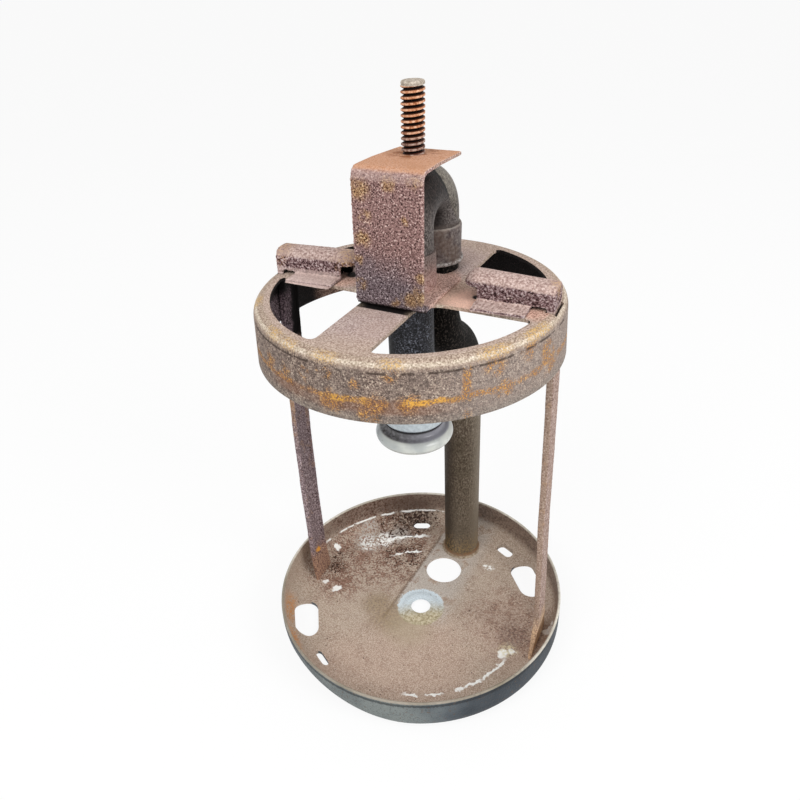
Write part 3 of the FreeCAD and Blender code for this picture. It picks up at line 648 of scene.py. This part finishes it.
# The hollow under each hump and the undersides over the ring are painted near black, painted shade.
middle = right * (x * 0.07) + (1 - right) * (x * 0.09 + 2.9)
across = x.maths("ABSOLUTE", x).band(30.5, 11.6, 0.3)
hollow = (y - middle).band(0, 3.45, 0.2) * z.band(RING_TOP + 2.0, 2.2, 0.3) * across
shade = where.facing((0, 0, -1)).step(0.2, 0.6) * over | hollow
colour = shade.mix(colour, "0d0808")
end_finish(strap_finish, colour, 0.72 + fine * 0.15, 0.1, fleck * 0.6 + fine * 0.4, 0.4)
for node, name, bow, foot_lean, front_flare, back_flare, twist, slump in (
    ("left_upright", "left_channel", -1.0, -0.2, -0.3, 2.0, 1.8, -0.3),
    ("right_upright", "right_channel", 0.3, 1.4, -5.4, 5.0, 0.4, -1.2),
):
    channel = copied(node, name)
    worn(channel, 0.36)
    roughened(channel, 0.6, 0.6, hump_pits)
    leaned(channel, "X", bow, shaft_bow)
    leaned(channel, "X", foot_lean, low_lean)
    leaned(channel, "Y", front_flare, foot_front)
    leaned(channel, "Y", back_flare, foot_back)
    leaned(channel, "Y", twist, over_ring)
    leaned(channel, "Z", slump, end_slump)
    smoothed(channel)
    dress(channel, strap_finish)
    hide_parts(node)
    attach(channel, "frame")


# Top ring: an inverted cup of pressed sheet, its deck pierced to four spokes and a hub.
# The deck is pink-tan and finely speckled, with a pale highlight painted along the rounded edge, and the
# band grey-brown with a broken line of orange rust and patches of ochre. Its inside is painted near black as
# shade.
FLAT = math.radians(0.6)
EDGE_WEAR = 0.3
ring_piece = copied("top_ring", "pierced_ring")
bpy.ops.object.mode_set(mode="EDIT")
bpy.ops.mesh.select_all(action="SELECT")
bpy.ops.mesh.dissolve_limited(angle_limit=FLAT)
bpy.ops.object.mode_set(mode="OBJECT")
changed(ring_piece, "BEVEL", width=EDGE_WEAR * MM, segments=2, limit_method="ANGLE", angle_limit=SHARP)
smoothed(ring_piece)
ring_finish, where = start_finish("rusted_ring")
x, y, z = where.axes()
reach = where.reach()
cloud = where.noise(0.07, 3)
blotch = where.moved((0, 20, 9)).noise(0.25, 4, 0.62)
fleck = where.moved((60, 5, 0)).noise(2.3, 2, 0.6)
fine = where.moved((0, 0, 50)).noise(2.8, 2, 0.6)
grain = where.moved((7, 0, 3)).noise(2.0, 2, 0.6)
deck = grain.ramp(
    (0.36, "8f7a74"), (0.44, "ad9791"), (0.51, "bda8a2"), (0.58, "cbb8b2"), (0.67, "ddcec8")
)
deck = (cloud.step(0.4, 0.62) * 0.35).mix(deck, "b59d90")
deck = (reach.step(30, 40) * 0.6).mix(
    deck, grain.ramp((0.36, "9a8371"), (0.5, "b9a391"), (0.66, "d6c3b0"))
)
torn = where.ragged(0.4, 4)
hub = torn.spots((
    ((14, 0, 135), 4, 14), ((-21, -2, 135), 3, 8), ((20, -4, 135), 3, 9), ((39, -3, 135), 2, 6),
    ((0, 6, 135), 9, 15),
))
deck = (hub * 0.8).mix(
    deck, grain.ramp((0.36, "9a6c5d"), (0.45, "c99a88"), (0.52, "deaf9c"), (0.66, "f2ccb8"))
)
# A lighter patch is painted on the deck beside the right nose, painted light where the bracket shades it.
deck = (where.spot((17, -3, RING_TOP), 4, 10) * 0.75).mix(deck, "f6cbb6")
deck = (fleck.step(0.64, 0.7) * 0.7).mix(deck, "7d5f57")
# A painted black shadow on the deck under the heel of the bracket's leg.
deck = (y.band(-15.6, 1.5, 0.25) * x.band(1.6, 10.3, 0.3)).mix(deck, "0a0505")
# The gaps under the humps' noses are painted near black, painted shade.
nose_gap_shade = where.spots((((-20.2, 2.2, RING_TOP), 1.6, 2.8), ((20.8, 0.8, RING_TOP), 1.0, 1.8)))
deck = nose_gap_shade.mix(deck, "0d0808")

side = fleck.ramp(
    (0.34, "3a2f2a"), (0.41, "6b5b53"), (0.47, "806e64"), (0.55, "8e7b70"), (0.62, "ae9b8b"),
    (0.7, "dccdbb")
)
side = (cloud.step(0.38, 0.6) * 0.35).mix(side, "766962")
mottle = where.moved((4, 0, 8)).noise(0.6, 3, 0.65)
side = (mottle.step(0.53, 0.66) * 0.6).mix(side, "4c403b")
side = (mottle.step(0.46, 0.34) * 0.45).mix(side, "c0ae9e")
# The band is painted lighter and greyer towards the right, painted light.
side = (x.step(18, 40) * 0.35).mix(side, fine.ramp((0.36, "8b7d75"), (0.5, "b3a59c"), (0.66, "d3c7bd")))
line_height = z + blotch * 3.0 - 1.5
broken = where.moved((3, 0, 0), (1, 1, 0.2)).noise(0.1, 3, 0.6)
line = line_height.band(124.9, 0.4, 0.9) * broken.step(0.36, 0.5)
stained = where.spots((((10, -44, 123), 8, 26), ((-14, -43, 125), 3, 10)))
stain = line_height.band(123.4, 1.2, 1.6) * stained
side = (stain * 0.4).mix(side, "8a5c40")
patches = torn.spots((
    ((-1.5, -45.7, 131.3), 0.8, 2.6), ((-15, -43, 127.6), 0.8, 2.8), ((-22, -40, 127), 0.8, 3.2),
    ((-8, -45, 129), 0.8, 2.4), ((37, -26.6, 131.5), 1.2, 4.2), ((38.7, -24.3, 124.4), 1.2, 3.6),
    ((45, -7.8, 125.6), 2.5, 5), ((44.7, -9.4, 129), 2, 4), ((42.6, -16.6, 132.8), 1.2, 4.4),
    ((9.2, -44.8, 120.6), 1.0, 3), ((6.9, -45.2, 129.1), 0.6, 2), ((16.2, -42.7, 132), 0.8, 2.6),
    ((11.8, -44.1, 119.5), 0.8, 2.2), ((31.8, -32.8, 119.5), 0.8, 2.2), ((12, -44, 124), 1.5, 4.2),
    ((20, -41, 124.4), 1.2, 4), ((0, -45.7, 123), 1.5, 4.5), ((31.8, -32.8, 125.4), 0.8, 2.6),
))
drip = (x - 31.7).band(0.0, 0.5, 0.6) * y.step(-30, -32) * z.band(128.5, 4, 1.5)
rust = line | (patches | drip) * blotch.step(0.38, 0.5)
side = (rust * fleck.step(0.42, 0.54) * 0.85).mix(
    side, fleck.ramp((0.4, "5d3a22"), (0.5, "96622f"), (0.58, "bb8340"), (0.66, "e0b060"))
)
bright = where.spots((((22, -40, 125), 4, 12), ((4, -45, 125.5), 3, 8)))
side = (line * bright * grain.step(0.44, 0.54) * 0.9).mix(side, "e0a94a")
side = (z.step(121.5, 118.9) * 0.45).mix(
    side, grain.ramp((0.36, "55514c"), (0.5, "827a72"), (0.66, "bcb2a6"))
)
# A thin dark line is painted along the groove under the rounded edge, painted shade.
crease = z.band(132.7, 0.12, 0.35) * blotch.step(0.44, 0.52)
side = (crease * 0.8).mix(side, "3d3029")

colour = z.step(133.0, 134.9).mix(side, deck)
corner = z.step(131.8, 132.8)
edge = where.outward().band(0.5, 0.3, 0.2) * corner
colour = (edge * 0.7).mix(
    colour, grain.ramp((0.36, "7d6a5a"), (0.46, "9f8c7b"), (0.54, "b09d8b"), (0.66, "d2c0ac"))
)
# A pale highlight is painted along the outer curve of the rounded edge.
edge_highlight = where.outward().band(0.7, 0.07, 0.12) * corner * (0.5 + 0.5 * blotch.step(0.4, 0.52))
colour = (edge_highlight * 0.85).mix(
    colour, grain.ramp((0.34, "a3937f"), (0.46, "cbbba7"), (0.56, "ddcfbd"), (0.68, "f3e9da"))
)
edge_rust = torn.spots((
    ((-20, -38, 134), 1, 5), ((-14, -42, 134), 1, 5), ((-37, -24, 134), 1, 5), ((-2, -45, 134), 1, 6),
    ((43, -12, 134), 3, 8), ((37, -26, 134), 2, 7), ((16, -42, 134), 1, 5),
))
colour = (edge * edge_rust * fleck.step(0.45, 0.55) * 0.8).mix(
    colour, fleck.ramp((0.42, "9c7040"), (0.6, "d8b26e"))
)
# The inside of the band is painted near black, painted shade. It has two painted lit patches on the inner
# wall, where light comes in through the openings.
inner = where.outward().step(-0.2, -0.5) | where.facing((0, 0, -1)).step(0.3, 0.7) * z.step(130, 133)
cavity = fleck.ramp((0.4, "080606"), (0.6, "1c1514"), (0.72, "403333"))
cavity = where.spot((-44, -9, 121), 5, 9).mix(
    cavity, fleck.ramp((0.38, "241b1d"), (0.5, "65555a"), (0.64, "a39196"))
)
cavity = where.spot((-38.5, 21.5, 121), 5, 11).mix(
    cavity, fleck.ramp((0.38, "4a352d"), (0.5, "8f7264"), (0.64, "b89c8c"))
)
colour = (inner * reach.step(30, 38)).mix(colour, cavity)
height = fleck * (1 - z.step(133.5, 135.2) * 0.55) + fine * 0.45
end_finish(ring_finish, colour, 0.7 + fine * 0.15, 0.1, height, 0.5)
dress(ring_piece, ring_finish)
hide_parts("top_ring")
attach(ring_piece, "frame")


# Stud bracket: a strap bent to a C that stands on the hub and carries the stud on its upper plate.
# Its leg is deeply pitted, mauve above and blue-grey below with clusters of ochre,
# and the plate is smooth orange-tan rust, with a pale highlight painted along its edges.
PLATE_TOP = 172.7
PLATE_BACK = 9.5
LEG_FRONT = -16.0


def leg_pits(place, normal):
    """The leg's outer face is deeply pitted, its bend less, and the plate hardly."""
    if normal.y < -0.6 and place.z < PLATE_TOP - 3:
        return 1.0
    return 0.35 if place.z < PLATE_TOP - 1 else 0.12


def lower_share(place):
    """How far down the bracket a place lies, from its plate to its foot."""
    return part_way(place.z, PLATE_TOP, RING_TOP)


def upper_share(place):
    """How far up the bracket a place lies, from its foot to its plate."""
    return 1 - lower_share(place)


def plate_back(place):
    """How far back a place on the plate lies."""
    return part_way(place.y, -12, PLATE_BACK) if place.z > PLATE_TOP - 4 else 0.0


def plate_right(place):
    """The plate narrows on the right to its free back corner."""
    return plate_back(place) * part_way(place.x, 2, 12)


def plate_left(place):
    """The plate narrows on the left too."""
    return plate_back(place) * part_way(place.x, 2, -6)


def bend_lift(place):
    """The bracket stands highest at its bend, and the plate slopes down to its back."""
    return upper_share(place) * (1 - 0.9 * part_way(place.y, -5, PLATE_BACK))


bracket = copied("stud_bracket", "pitted_bracket")
worn(bracket, 0.32)
roughened(bracket, 0.45, 0.55, leg_pits)
leaned(bracket, "X", -0.35, lower_share)
leaned(bracket, "X", 0.5, upper_share)
leaned(bracket, "X", -0.65, plate_right)
leaned(bracket, "X", 0.9, plate_left)
leaned(bracket, "Z", 0.8, bend_lift)
smoothed(bracket)
bracket_finish, where = start_finish("pitted_bracket")
x, y, z = where.axes()
cloud = where.noise(0.08, 3)
blotch = where.moved((9, 20, 9)).noise(0.3, 3, 0.6)
fleck = where.moved((60, 5, 7)).noise(2.1, 2, 0.6)
fine = where.moved((0, 4, 50)).noise(2.6, 2, 0.6)
point = where.pointed()
relief = (point - 0.5) * 1.5 + fleck
mauve = relief.ramp(
    (0.33, "1f0d0c"), (0.4, "5f4340"), (0.46, "866763"), (0.56, "9a7974"), (0.63, "bd9c95"),
    (0.71, "e6cfc8")
)
blue = relief.ramp(
    (0.33, "160c0e"), (0.4, "4c3d40"), (0.46, "6b5c60"), (0.56, "7e6f73"), (0.63, "a09093"),
    (0.71, "d0c2c3")
)
leg = (z + cloud * 14).step(160, 148).mix(mauve, blue)
ochre = where.ragged(0.6, 3).spots((
    ((-5.3, LEG_FRONT, 168), 1.0, 4.2), ((3.3, LEG_FRONT, 170), 0.8, 3.0),
    ((7.5, LEG_FRONT, 160.6), 0.6, 1.6), ((-5.1, LEG_FRONT, 155.1), 0.6, 3.4),
    ((-3.9, LEG_FRONT, 161), 0.5, 2.6), ((11.6, LEG_FRONT, 146), 0.6, 2.4),
    ((11.4, LEG_FRONT, 141), 1.2, 3.6), ((8.4, LEG_FRONT, 139.5), 0.8, 3.2),
    ((10.5, LEG_FRONT, 171), 0.6, 2.6), ((4, LEG_FRONT, 138), 0.4, 2.0),
    ((-6.5, LEG_FRONT, 142), 0.6, 2.6), ((-6.8, LEG_FRONT, 149), 0.4, 2.0),
))
golden = relief.ramp(
    (0.33, "26130b"), (0.4, "6e4c30"), (0.46, "937049"), (0.56, "b08a5c"), (0.63, "cfa873"),
    (0.71, "f0d9a8")
)
leg = (ochre * blotch.step(0.3, 0.5) * 0.75).mix(leg, golden)

plate = fleck.ramp((0.32, "a5704f"), (0.46, "c2906f"), (0.56, "cb9d83"), (0.7, "dab49d"))
plate = (cloud.step(0.44, 0.6) * 0.45).mix(plate, "b98766")
stud_near = where.spot((1.8, 1.9, PLATE_TOP), 4, 9)
plate = (stud_near * blotch.step(0.45, 0.58)).mix(plate, "94603f")
plate = (fleck.step(0.64, 0.7) * 0.8).mix(plate, "6b4330")
# A pale highlight is painted along the plate's right and back edges.
pale = x.step(12.0, 13.4) | y.step(8.6, 9.4)
plate = (pale * 0.7).mix(plate, "d6c0b0")

top = (where.facing((0, 0, 1)) + (fine - 0.5) * 0.3).step(0.55, 0.85) * z.step(166, 169)
colour = top.mix(leg, plate)
turn = (z - 171.6).band(0.0, 0.6, 1.2) * y.step(-12.5, -14.5)
colour = (turn * 0.5).mix(colour, fine.ramp((0.34, "8f7570"), (0.5, "b2968e"), (0.68, "d6c0b8")))
# The plate's right side face is painted with a pale highlight, and painted shade runs along its lower edge.
plate_side = where.facing((1, 0, 0)).step(0.3, 0.7) * z.step(168.5, 170) * y.step(-11, -9)
colour = (plate_side * 0.7).mix(colour, fleck.ramp((0.36, "8d6f60"), (0.5, "b0907f"), (0.66, "d3bcae")))
colour = (plate_side * z.step(171.3, 170.7)).mix(colour, "1c0f0b")
# The underside of the leg's heel is painted near black, painted shade.
heel_shade = z.step(137.2, 136.2) * y.step(-13.6, -14.4)
colour = heel_shade.mix(colour, "1a0f0c")
# The strap's foot on the deck is pink-tan, painted lighter still as painted light where the leg shades it.
strap_foot = z.step(137.9, 137.2) * y.step(-13, -11)
colour = strap_foot.mix(
    colour, fleck.ramp((0.36, "8a6458"), (0.46, "c09c90"), (0.54, "d6b2a5"), (0.66, "ecd0c4"))
)
end_finish(bracket_finish, colour, 0.74, 0.08, fleck * (1 - top * 0.6) + fine * 0.35, 0.45)
dress(bracket, bracket_finish)
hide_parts("stud_bracket")
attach(bracket, "frame")


# Hood stud: a threaded steel stud riveted into the plate, with a smooth chamfered tip.
# Its crests are rusted tan-orange above and pinkish grey below, and its thread roots are black.
STUD_PLACE = (1.5, 1.9)
STUD_TOP = 191.1
STUD_LEAN = 0.5
stud = copied("hood_stud", "threaded_stud")
tip_profile = [(0, 189.2), (2.4, 189.2), (2.45, 189.95), (2.95, 190.1), (3.12, 190.35), (3.12, 190.6)]
tip_profile += [(2.95, 190.95), (2.5, STUD_TOP), (0, STUD_TOP)]
joined(stud, turned("stud_tip", tip_profile, 64, *STUD_PLACE), "UNION")


def stud_lean(place):
    """The stud leans a little to the right."""
    return part_way(place.z, PLATE_TOP, STUD_TOP)


leaned(stud, "X", STUD_LEAN, stud_lean)
smoothed(stud)
stud_finish, where = start_finish("rusted_thread")
x, y, z = where.axes()
out_x = x - STUD_PLACE[0] - (z - PLATE_TOP) * (STUD_LEAN / (STUD_TOP - PLATE_TOP))
out_y = y - STUD_PLACE[1]
stud_reach = x.maths("SQRT", out_x * out_x + out_y * out_y)
fleck = where.noise(1.1, 2, 0.6)
lower_crest = fleck.ramp((0.36, "6a4e43"), (0.5, "9c8073"), (0.66, "bfab9f"))
upper_crest = fleck.ramp((0.34, "965a38"), (0.5, "c48a66"), (0.66, "e2b596"))
crest = (z + fleck * 2).step(177.5, 181).mix(lower_crest, upper_crest)
flank = stud_reach.step(2.5, 2.95).mix("050100", "4a2312")
colour = stud_reach.step(2.94, 3.13).mix(flank, crest)
tip = z.step(189.85, 190.0)
colour = tip.mix(colour, fleck.ramp((0.36, "8f8375"), (0.5, "aca092"), (0.66, "c8bdae")))
end_finish(stud_finish, colour, 0.6, 0.1, fleck, 0.15)
dress(stud, stud_finish)
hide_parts("hood_stud")
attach(stud, "frame")


# Burner tube: straight tube on the axis, belled at its top round the end of the return bend.
# Its lower length under the ring is sooted blue-black, and the bell above is red-brown.
burner_finish, where = start_finish("sooted_burner_tube")
z = where.axes()[2]
cloud = where.moved((0, 0, 0), (1, 1, 0.3)).noise(0.3, 3)
fleck = where.noise(1.9, 3, 0.6)
sooty = fleck.ramp((0.34, "050505"), (0.45, "27272b"), (0.55, "42434a"), (0.66, "858995"))
sooty = (cloud.step(0.44, 0.6) * 0.5).mix(sooty, "232427")
# Painted shade runs down the tube's shady side.
sooty = (where.facing(SHADY_WAY).step(0.2, 0.9) * 0.7).mix(sooty, "0d0d0e")
bell = fleck.ramp((0.36, "7a574e"), (0.5, "ab8a82"), (0.66, "cbada5"))
bell = (z.step(138, 147) * 0.85).mix(bell, fleck.ramp((0.36, "4d4441"), (0.66, "7a706b")))
colour = z.step(135, 136.5).mix(sooty, bell)
end_finish(burner_finish, colour, 0.55, 0.2, fleck, 0.18)
dress(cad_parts["burner_tube"], burner_finish)


# Joint collar: a sleeve brazed over the mixing tube's end and the bend's back leg.
# It is dull grey with a rusty tint, and a rough silver bead of braze runs round its lower edge.
COLLAR_FOOT = 137.9
COLLAR_TOP = 149.6
BEND_BACK = 18.0
collar_profile = [(7.0, COLLAR_FOOT)] + arc(7.75, COLLAR_FOOT + 0.75, 0.75, -90, 80, 7)
collar_profile += along((7.9, 139.5), (8.1, 148.8), 16)
collar_profile += [(8.1, 148.9), (8.0, 149.3), (7.75, COLLAR_TOP)]
collar_profile += [(7.35, COLLAR_TOP), (7.35, 142.1), (7.0, 142.1)]
collar = turned("brazed_collar", collar_profile, 96, 0, BEND_BACK)


def bead_lumps(place, normal):
    """Only the bead at the foot is lumpy."""
    return 1.0 if place.z < COLLAR_FOOT + 1.5 else 0.1


roughened(collar, 1.2, 0.5, bead_lumps)
smoothed(collar)
collar_finish, where = start_finish("grey_collar")
z = where.axes()[2]
cloud = where.noise(0.15, 3)
fleck = where.noise(1.0, 3, 0.6)
colour = fleck.ramp((0.34, "473b3a"), (0.48, "625856"), (0.58, "736a66"), (0.7, "93887f"))
colour = (cloud.step(0.42, 0.6) * 0.5).mix(colour, "6f5d52")
bead = z.step(139.4, 138.8)
colour = (bead * fleck.step(0.36, 0.52)).mix(colour, "a9a4a0")
# A near-black band is painted round the foot, painted shade in the gap under the collar.
colour = z.step(138.25, 138.0).mix(colour, "0b0808")
colour = (z.step(149.1, 149.3) * fleck.step(0.36, 0.5) * 0.5).mix(colour, "8f877f")
end_finish(collar_finish, colour, 0.5, 0.25, fleck, 0.18)
dress(collar, collar_finish)
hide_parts("joint_collar")
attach(collar, "frame")


# Return bend: a half-circle of drawn tube from the burner over to the mixing tube.
# The side under the plate is painted dark grey-brown as the plate's cast shadow, and the outer back is
# olive-grey with a painted sheen.
bend_finish, where = start_finish("dark_bend")
x, y, z = where.axes()
fleck = where.noise(1.7, 3, 0.6)
# The plate's cast shadow is painted on the side under it, darkest at the top. The outer back is olive-grey
# with a painted sheen where it is lit.
dark = fleck.ramp((0.36, "0c0807"), (0.5, "1d1614"), (0.66, "352c29"))
dark = z.step(163, 154).mix(dark, fleck.ramp((0.36, "352e2c"), (0.5, "57504d"), (0.66, "7a726e")))
olive = fleck.ramp((0.36, "4b443d"), (0.5, "6f685e"), (0.66, "90887d"))
olive = z.step(163, 156).mix(olive, fleck.ramp((0.36, "322c27"), (0.5, "5a534c"), (0.66, "80786e")))
side = x * 0.55 + y * 0.8 + (z - 152) * 0.55 + (fleck - 0.5) * 1.5
colour = side.step(17.6, 18.0).mix(dark, olive)
# A dark line is painted at the edge of the shadow.
colour = (side.band(17.6, 0.25, 0.4) * z.step(158, 162)).mix(colour, "0d0807")
# Painted shade inside the arch.
inner = where.spot((0, 9, 152.6), 4.5, 9) * y.step(5, 9)
colour = (inner * 0.85).mix(colour, "171110")
colour = (z.step(151.2, 149.8) * y.step(9, 12) * 0.7).mix(colour, "564c47")
end_finish(bend_finish, colour, 0.5, 0.2, fleck, 0.15)
dress(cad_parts["return_bend"], bend_finish)


# Nozzle: one piece of glazed ceramic, a neck that pushes on the burner tube, a groove for the
# mantle's string and a full round bead at its mouth. Pale grey, bluish on the neck and dark in the groove.
nozzle_profile = [(7.25, 102.7)] + arc(9.2, 101.5, 1.2, 90, 0, 6) + along((10.4, 101.5), (10.4, 91.9), 4)
nozzle_profile += [(10.35, 91.7), (10.1, 91.2), (9.7, 90.7), (9.5, 90.1)]
nozzle_profile += [(9.5, 89.1), (9.6, 88.6), (9.85, 88.25)]
nozzle_profile += arc(10.15, 85.6, 2.5, 84, -90, 18)
nozzle_profile += [(9.0, 83.1), (8.3, 83.25), (7.9, 83.7), (7.9, 88.5)]
nozzle_profile += [(5.95, 88.5), (5.95, 91.9), (7.25, 91.9)]
nozzle = turned("glazed_nozzle", nozzle_profile, 128)
nozzle_finish, where = start_finish("grey_glaze")
x, y, z = where.axes()
cloud = where.noise(0.12, 3)
fleck = where.noise(0.9, 3)
colour = cloud.ramp((0.38, "b2b6b4"), (0.5, "c4c7c2"), (0.62, "cfd2cb"))
# Painted shade runs down the nozzle's shady side.
colour = (where.facing(SHADY_WAY).step(0.2, 0.9) * 0.5).mix(colour, "8d979f")
colour = (z.band(84.6, 0.12, 0.2) * 0.35).mix(colour, "7f8486")
soot = (x * 0.9 + y * 0.4).step(-8, 10).mix(fleck.ramp((0.4, "4a4848"), (0.6, "6f6e71")), "8b8b93")
soot = z.step(89.4, 90.2).mix(soot, "1c1b1d")
colour = z.step(87.55, 87.95).mix(colour, soot)
colour = z.step(90.6, 91.6).mix(colour, fleck.ramp((0.4, "b0bac0"), (0.6, "c3cdd2")))
colour = (fleck.step(0.66, 0.72) * 0.5).mix(colour, "6f6a62")
end_finish(nozzle_finish, colour, 0.2 + fleck * 0.1, 0.0, fleck, 0.03, 0.5)
dress(nozzle, nozzle_finish)
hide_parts("burner_nozzle")
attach(nozzle, "nozzle")


# Gauze and its keeper ring: a pierced disc held up in the nozzle's mouth by a sprung ring.
# Both are thin steel, stained dark by heat.
gauze_finish, where = start_finish("stained_gauze")
fleck = where.noise(1.5, 3)
colour = fleck.ramp((0.38, "3f3835"), (0.5, "564c46"), (0.64, "74675c"))
end_finish(gauze_finish, colour, 0.55, 0.5, fleck, 0.1)
for node in ("burner_gauze", "gauze_ring"):
    dress(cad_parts[node], gauze_finish)


# Floor: a plain white sheet that runs out of sight under the object.
# It looks as white as the backdrop and takes a soft shadow.
FLOOR_METRES = 300


def shown_rays(start):
    """A mask of the rays that show the backdrop: from the camera, off a mirror or through glass."""
    seen = start.node("LightPath", {}, {}, "Is Camera Ray")
    for ray in ("Is Glossy Ray", "Is Transmission Ray"):
        seen = seen | start.node("LightPath", {}, {}, ray)
    return seen


bpy.ops.object.select_all(action="DESELECT")
bpy.ops.mesh.primitive_grid_add(x_subdivisions=8, y_subdivisions=8, size=FLOOR_METRES)
floor = bpy.context.object
floor.name = "floor"
floor_finish = bpy.data.materials.new("white_floor")
start = cleared(floor_finish)
lit = start.node("BsdfDiffuse", {}, {"Color": (0.9, 0.9, 0.9, 1)})
plain = start.node("Emission", {}, {"Color": (1, 1, 1, 1), "Strength": 1.0})
shown = start.node("MixShader", {}, {0: shown_rays(start) * 0.88, 1: lit, 2: plain})
start.node("OutputMaterial", {}, {"Surface": shown})
dress(floor, floor_finish)


# Studio light: an even pale sky all round,
# with one broad soft lamp over the front and another at the right.
LAMP_AIM = Vector((0, 0, 0.1))
world = bpy.data.worlds.new("studio")
bpy.context.scene.world = world
start = cleared(world)
dim = start.node("Background", {}, {"Color": (1, 1, 1, 1), "Strength": 0.64})
white = start.node("Background", {}, {"Color": (1, 1, 1, 1), "Strength": 1.0})
shown = start.node("MixShader", {}, {0: shown_rays(start), 1: dim, 2: white})
start.node("OutputWorld", {}, {"Surface": shown})
for name, spot, size, power in (
    ("front_lamp", (-0.1, -0.5, 0.65), 0.4, 2.6),
    ("right_lamp", (0.6, -0.12, 0.42), 0.35, 2.4),
):
    lamp = bpy.data.lights.new(name, "AREA")
    lamp.size = size
    lamp.energy = power
    hung = bpy.data.objects.new(name, lamp)
    bpy.context.scene.collection.objects.link(hung)
    hung.location = spot
    aim = LAMP_AIM - Vector(spot)
    hung.rotation_euler = aim.to_track_quat("-Z", "Y").to_euler()


# Camera: a plain lens at the photograph's height and angle,
# tilted a little to its left.
SENSOR_WIDTH = 36.0
PICTURE_WIDTH = 800
FOCAL_PIXELS = 711.8
CAMERA_PLACE = Vector((88.19, -171.07, 218.57)) * MM
YAW = math.radians(28.556)
PITCH = math.radians(32.28)
ROLL = math.radians(-2.717)
view = bpy.data.cameras.new("photo_camera")
view.sensor_width = SENSOR_WIDTH
view.lens = FOCAL_PIXELS * SENSOR_WIDTH / PICTURE_WIDTH
view.clip_start = 0.01
view.clip_end = 400.0
camera = bpy.data.objects.new("photo_camera", view)
bpy.context.scene.collection.objects.link(camera)
ahead = Vector((-math.sin(YAW) * math.cos(PITCH), math.cos(YAW) * math.cos(PITCH), -math.sin(PITCH)))
level = Vector((math.cos(YAW), math.sin(YAW), 0))
upright = level.cross(ahead)
right = level * math.cos(ROLL) + upright * math.sin(ROLL)
up = upright * math.cos(ROLL) - level * math.sin(ROLL)
turn = Matrix((right, up, -ahead)).transposed().to_4x4()
camera.matrix_world = Matrix.Translation(CAMERA_PLACE) @ turn
bpy.context.scene.camera = camera
bpy.context.scene.view_settings.view_transform = "Standard"
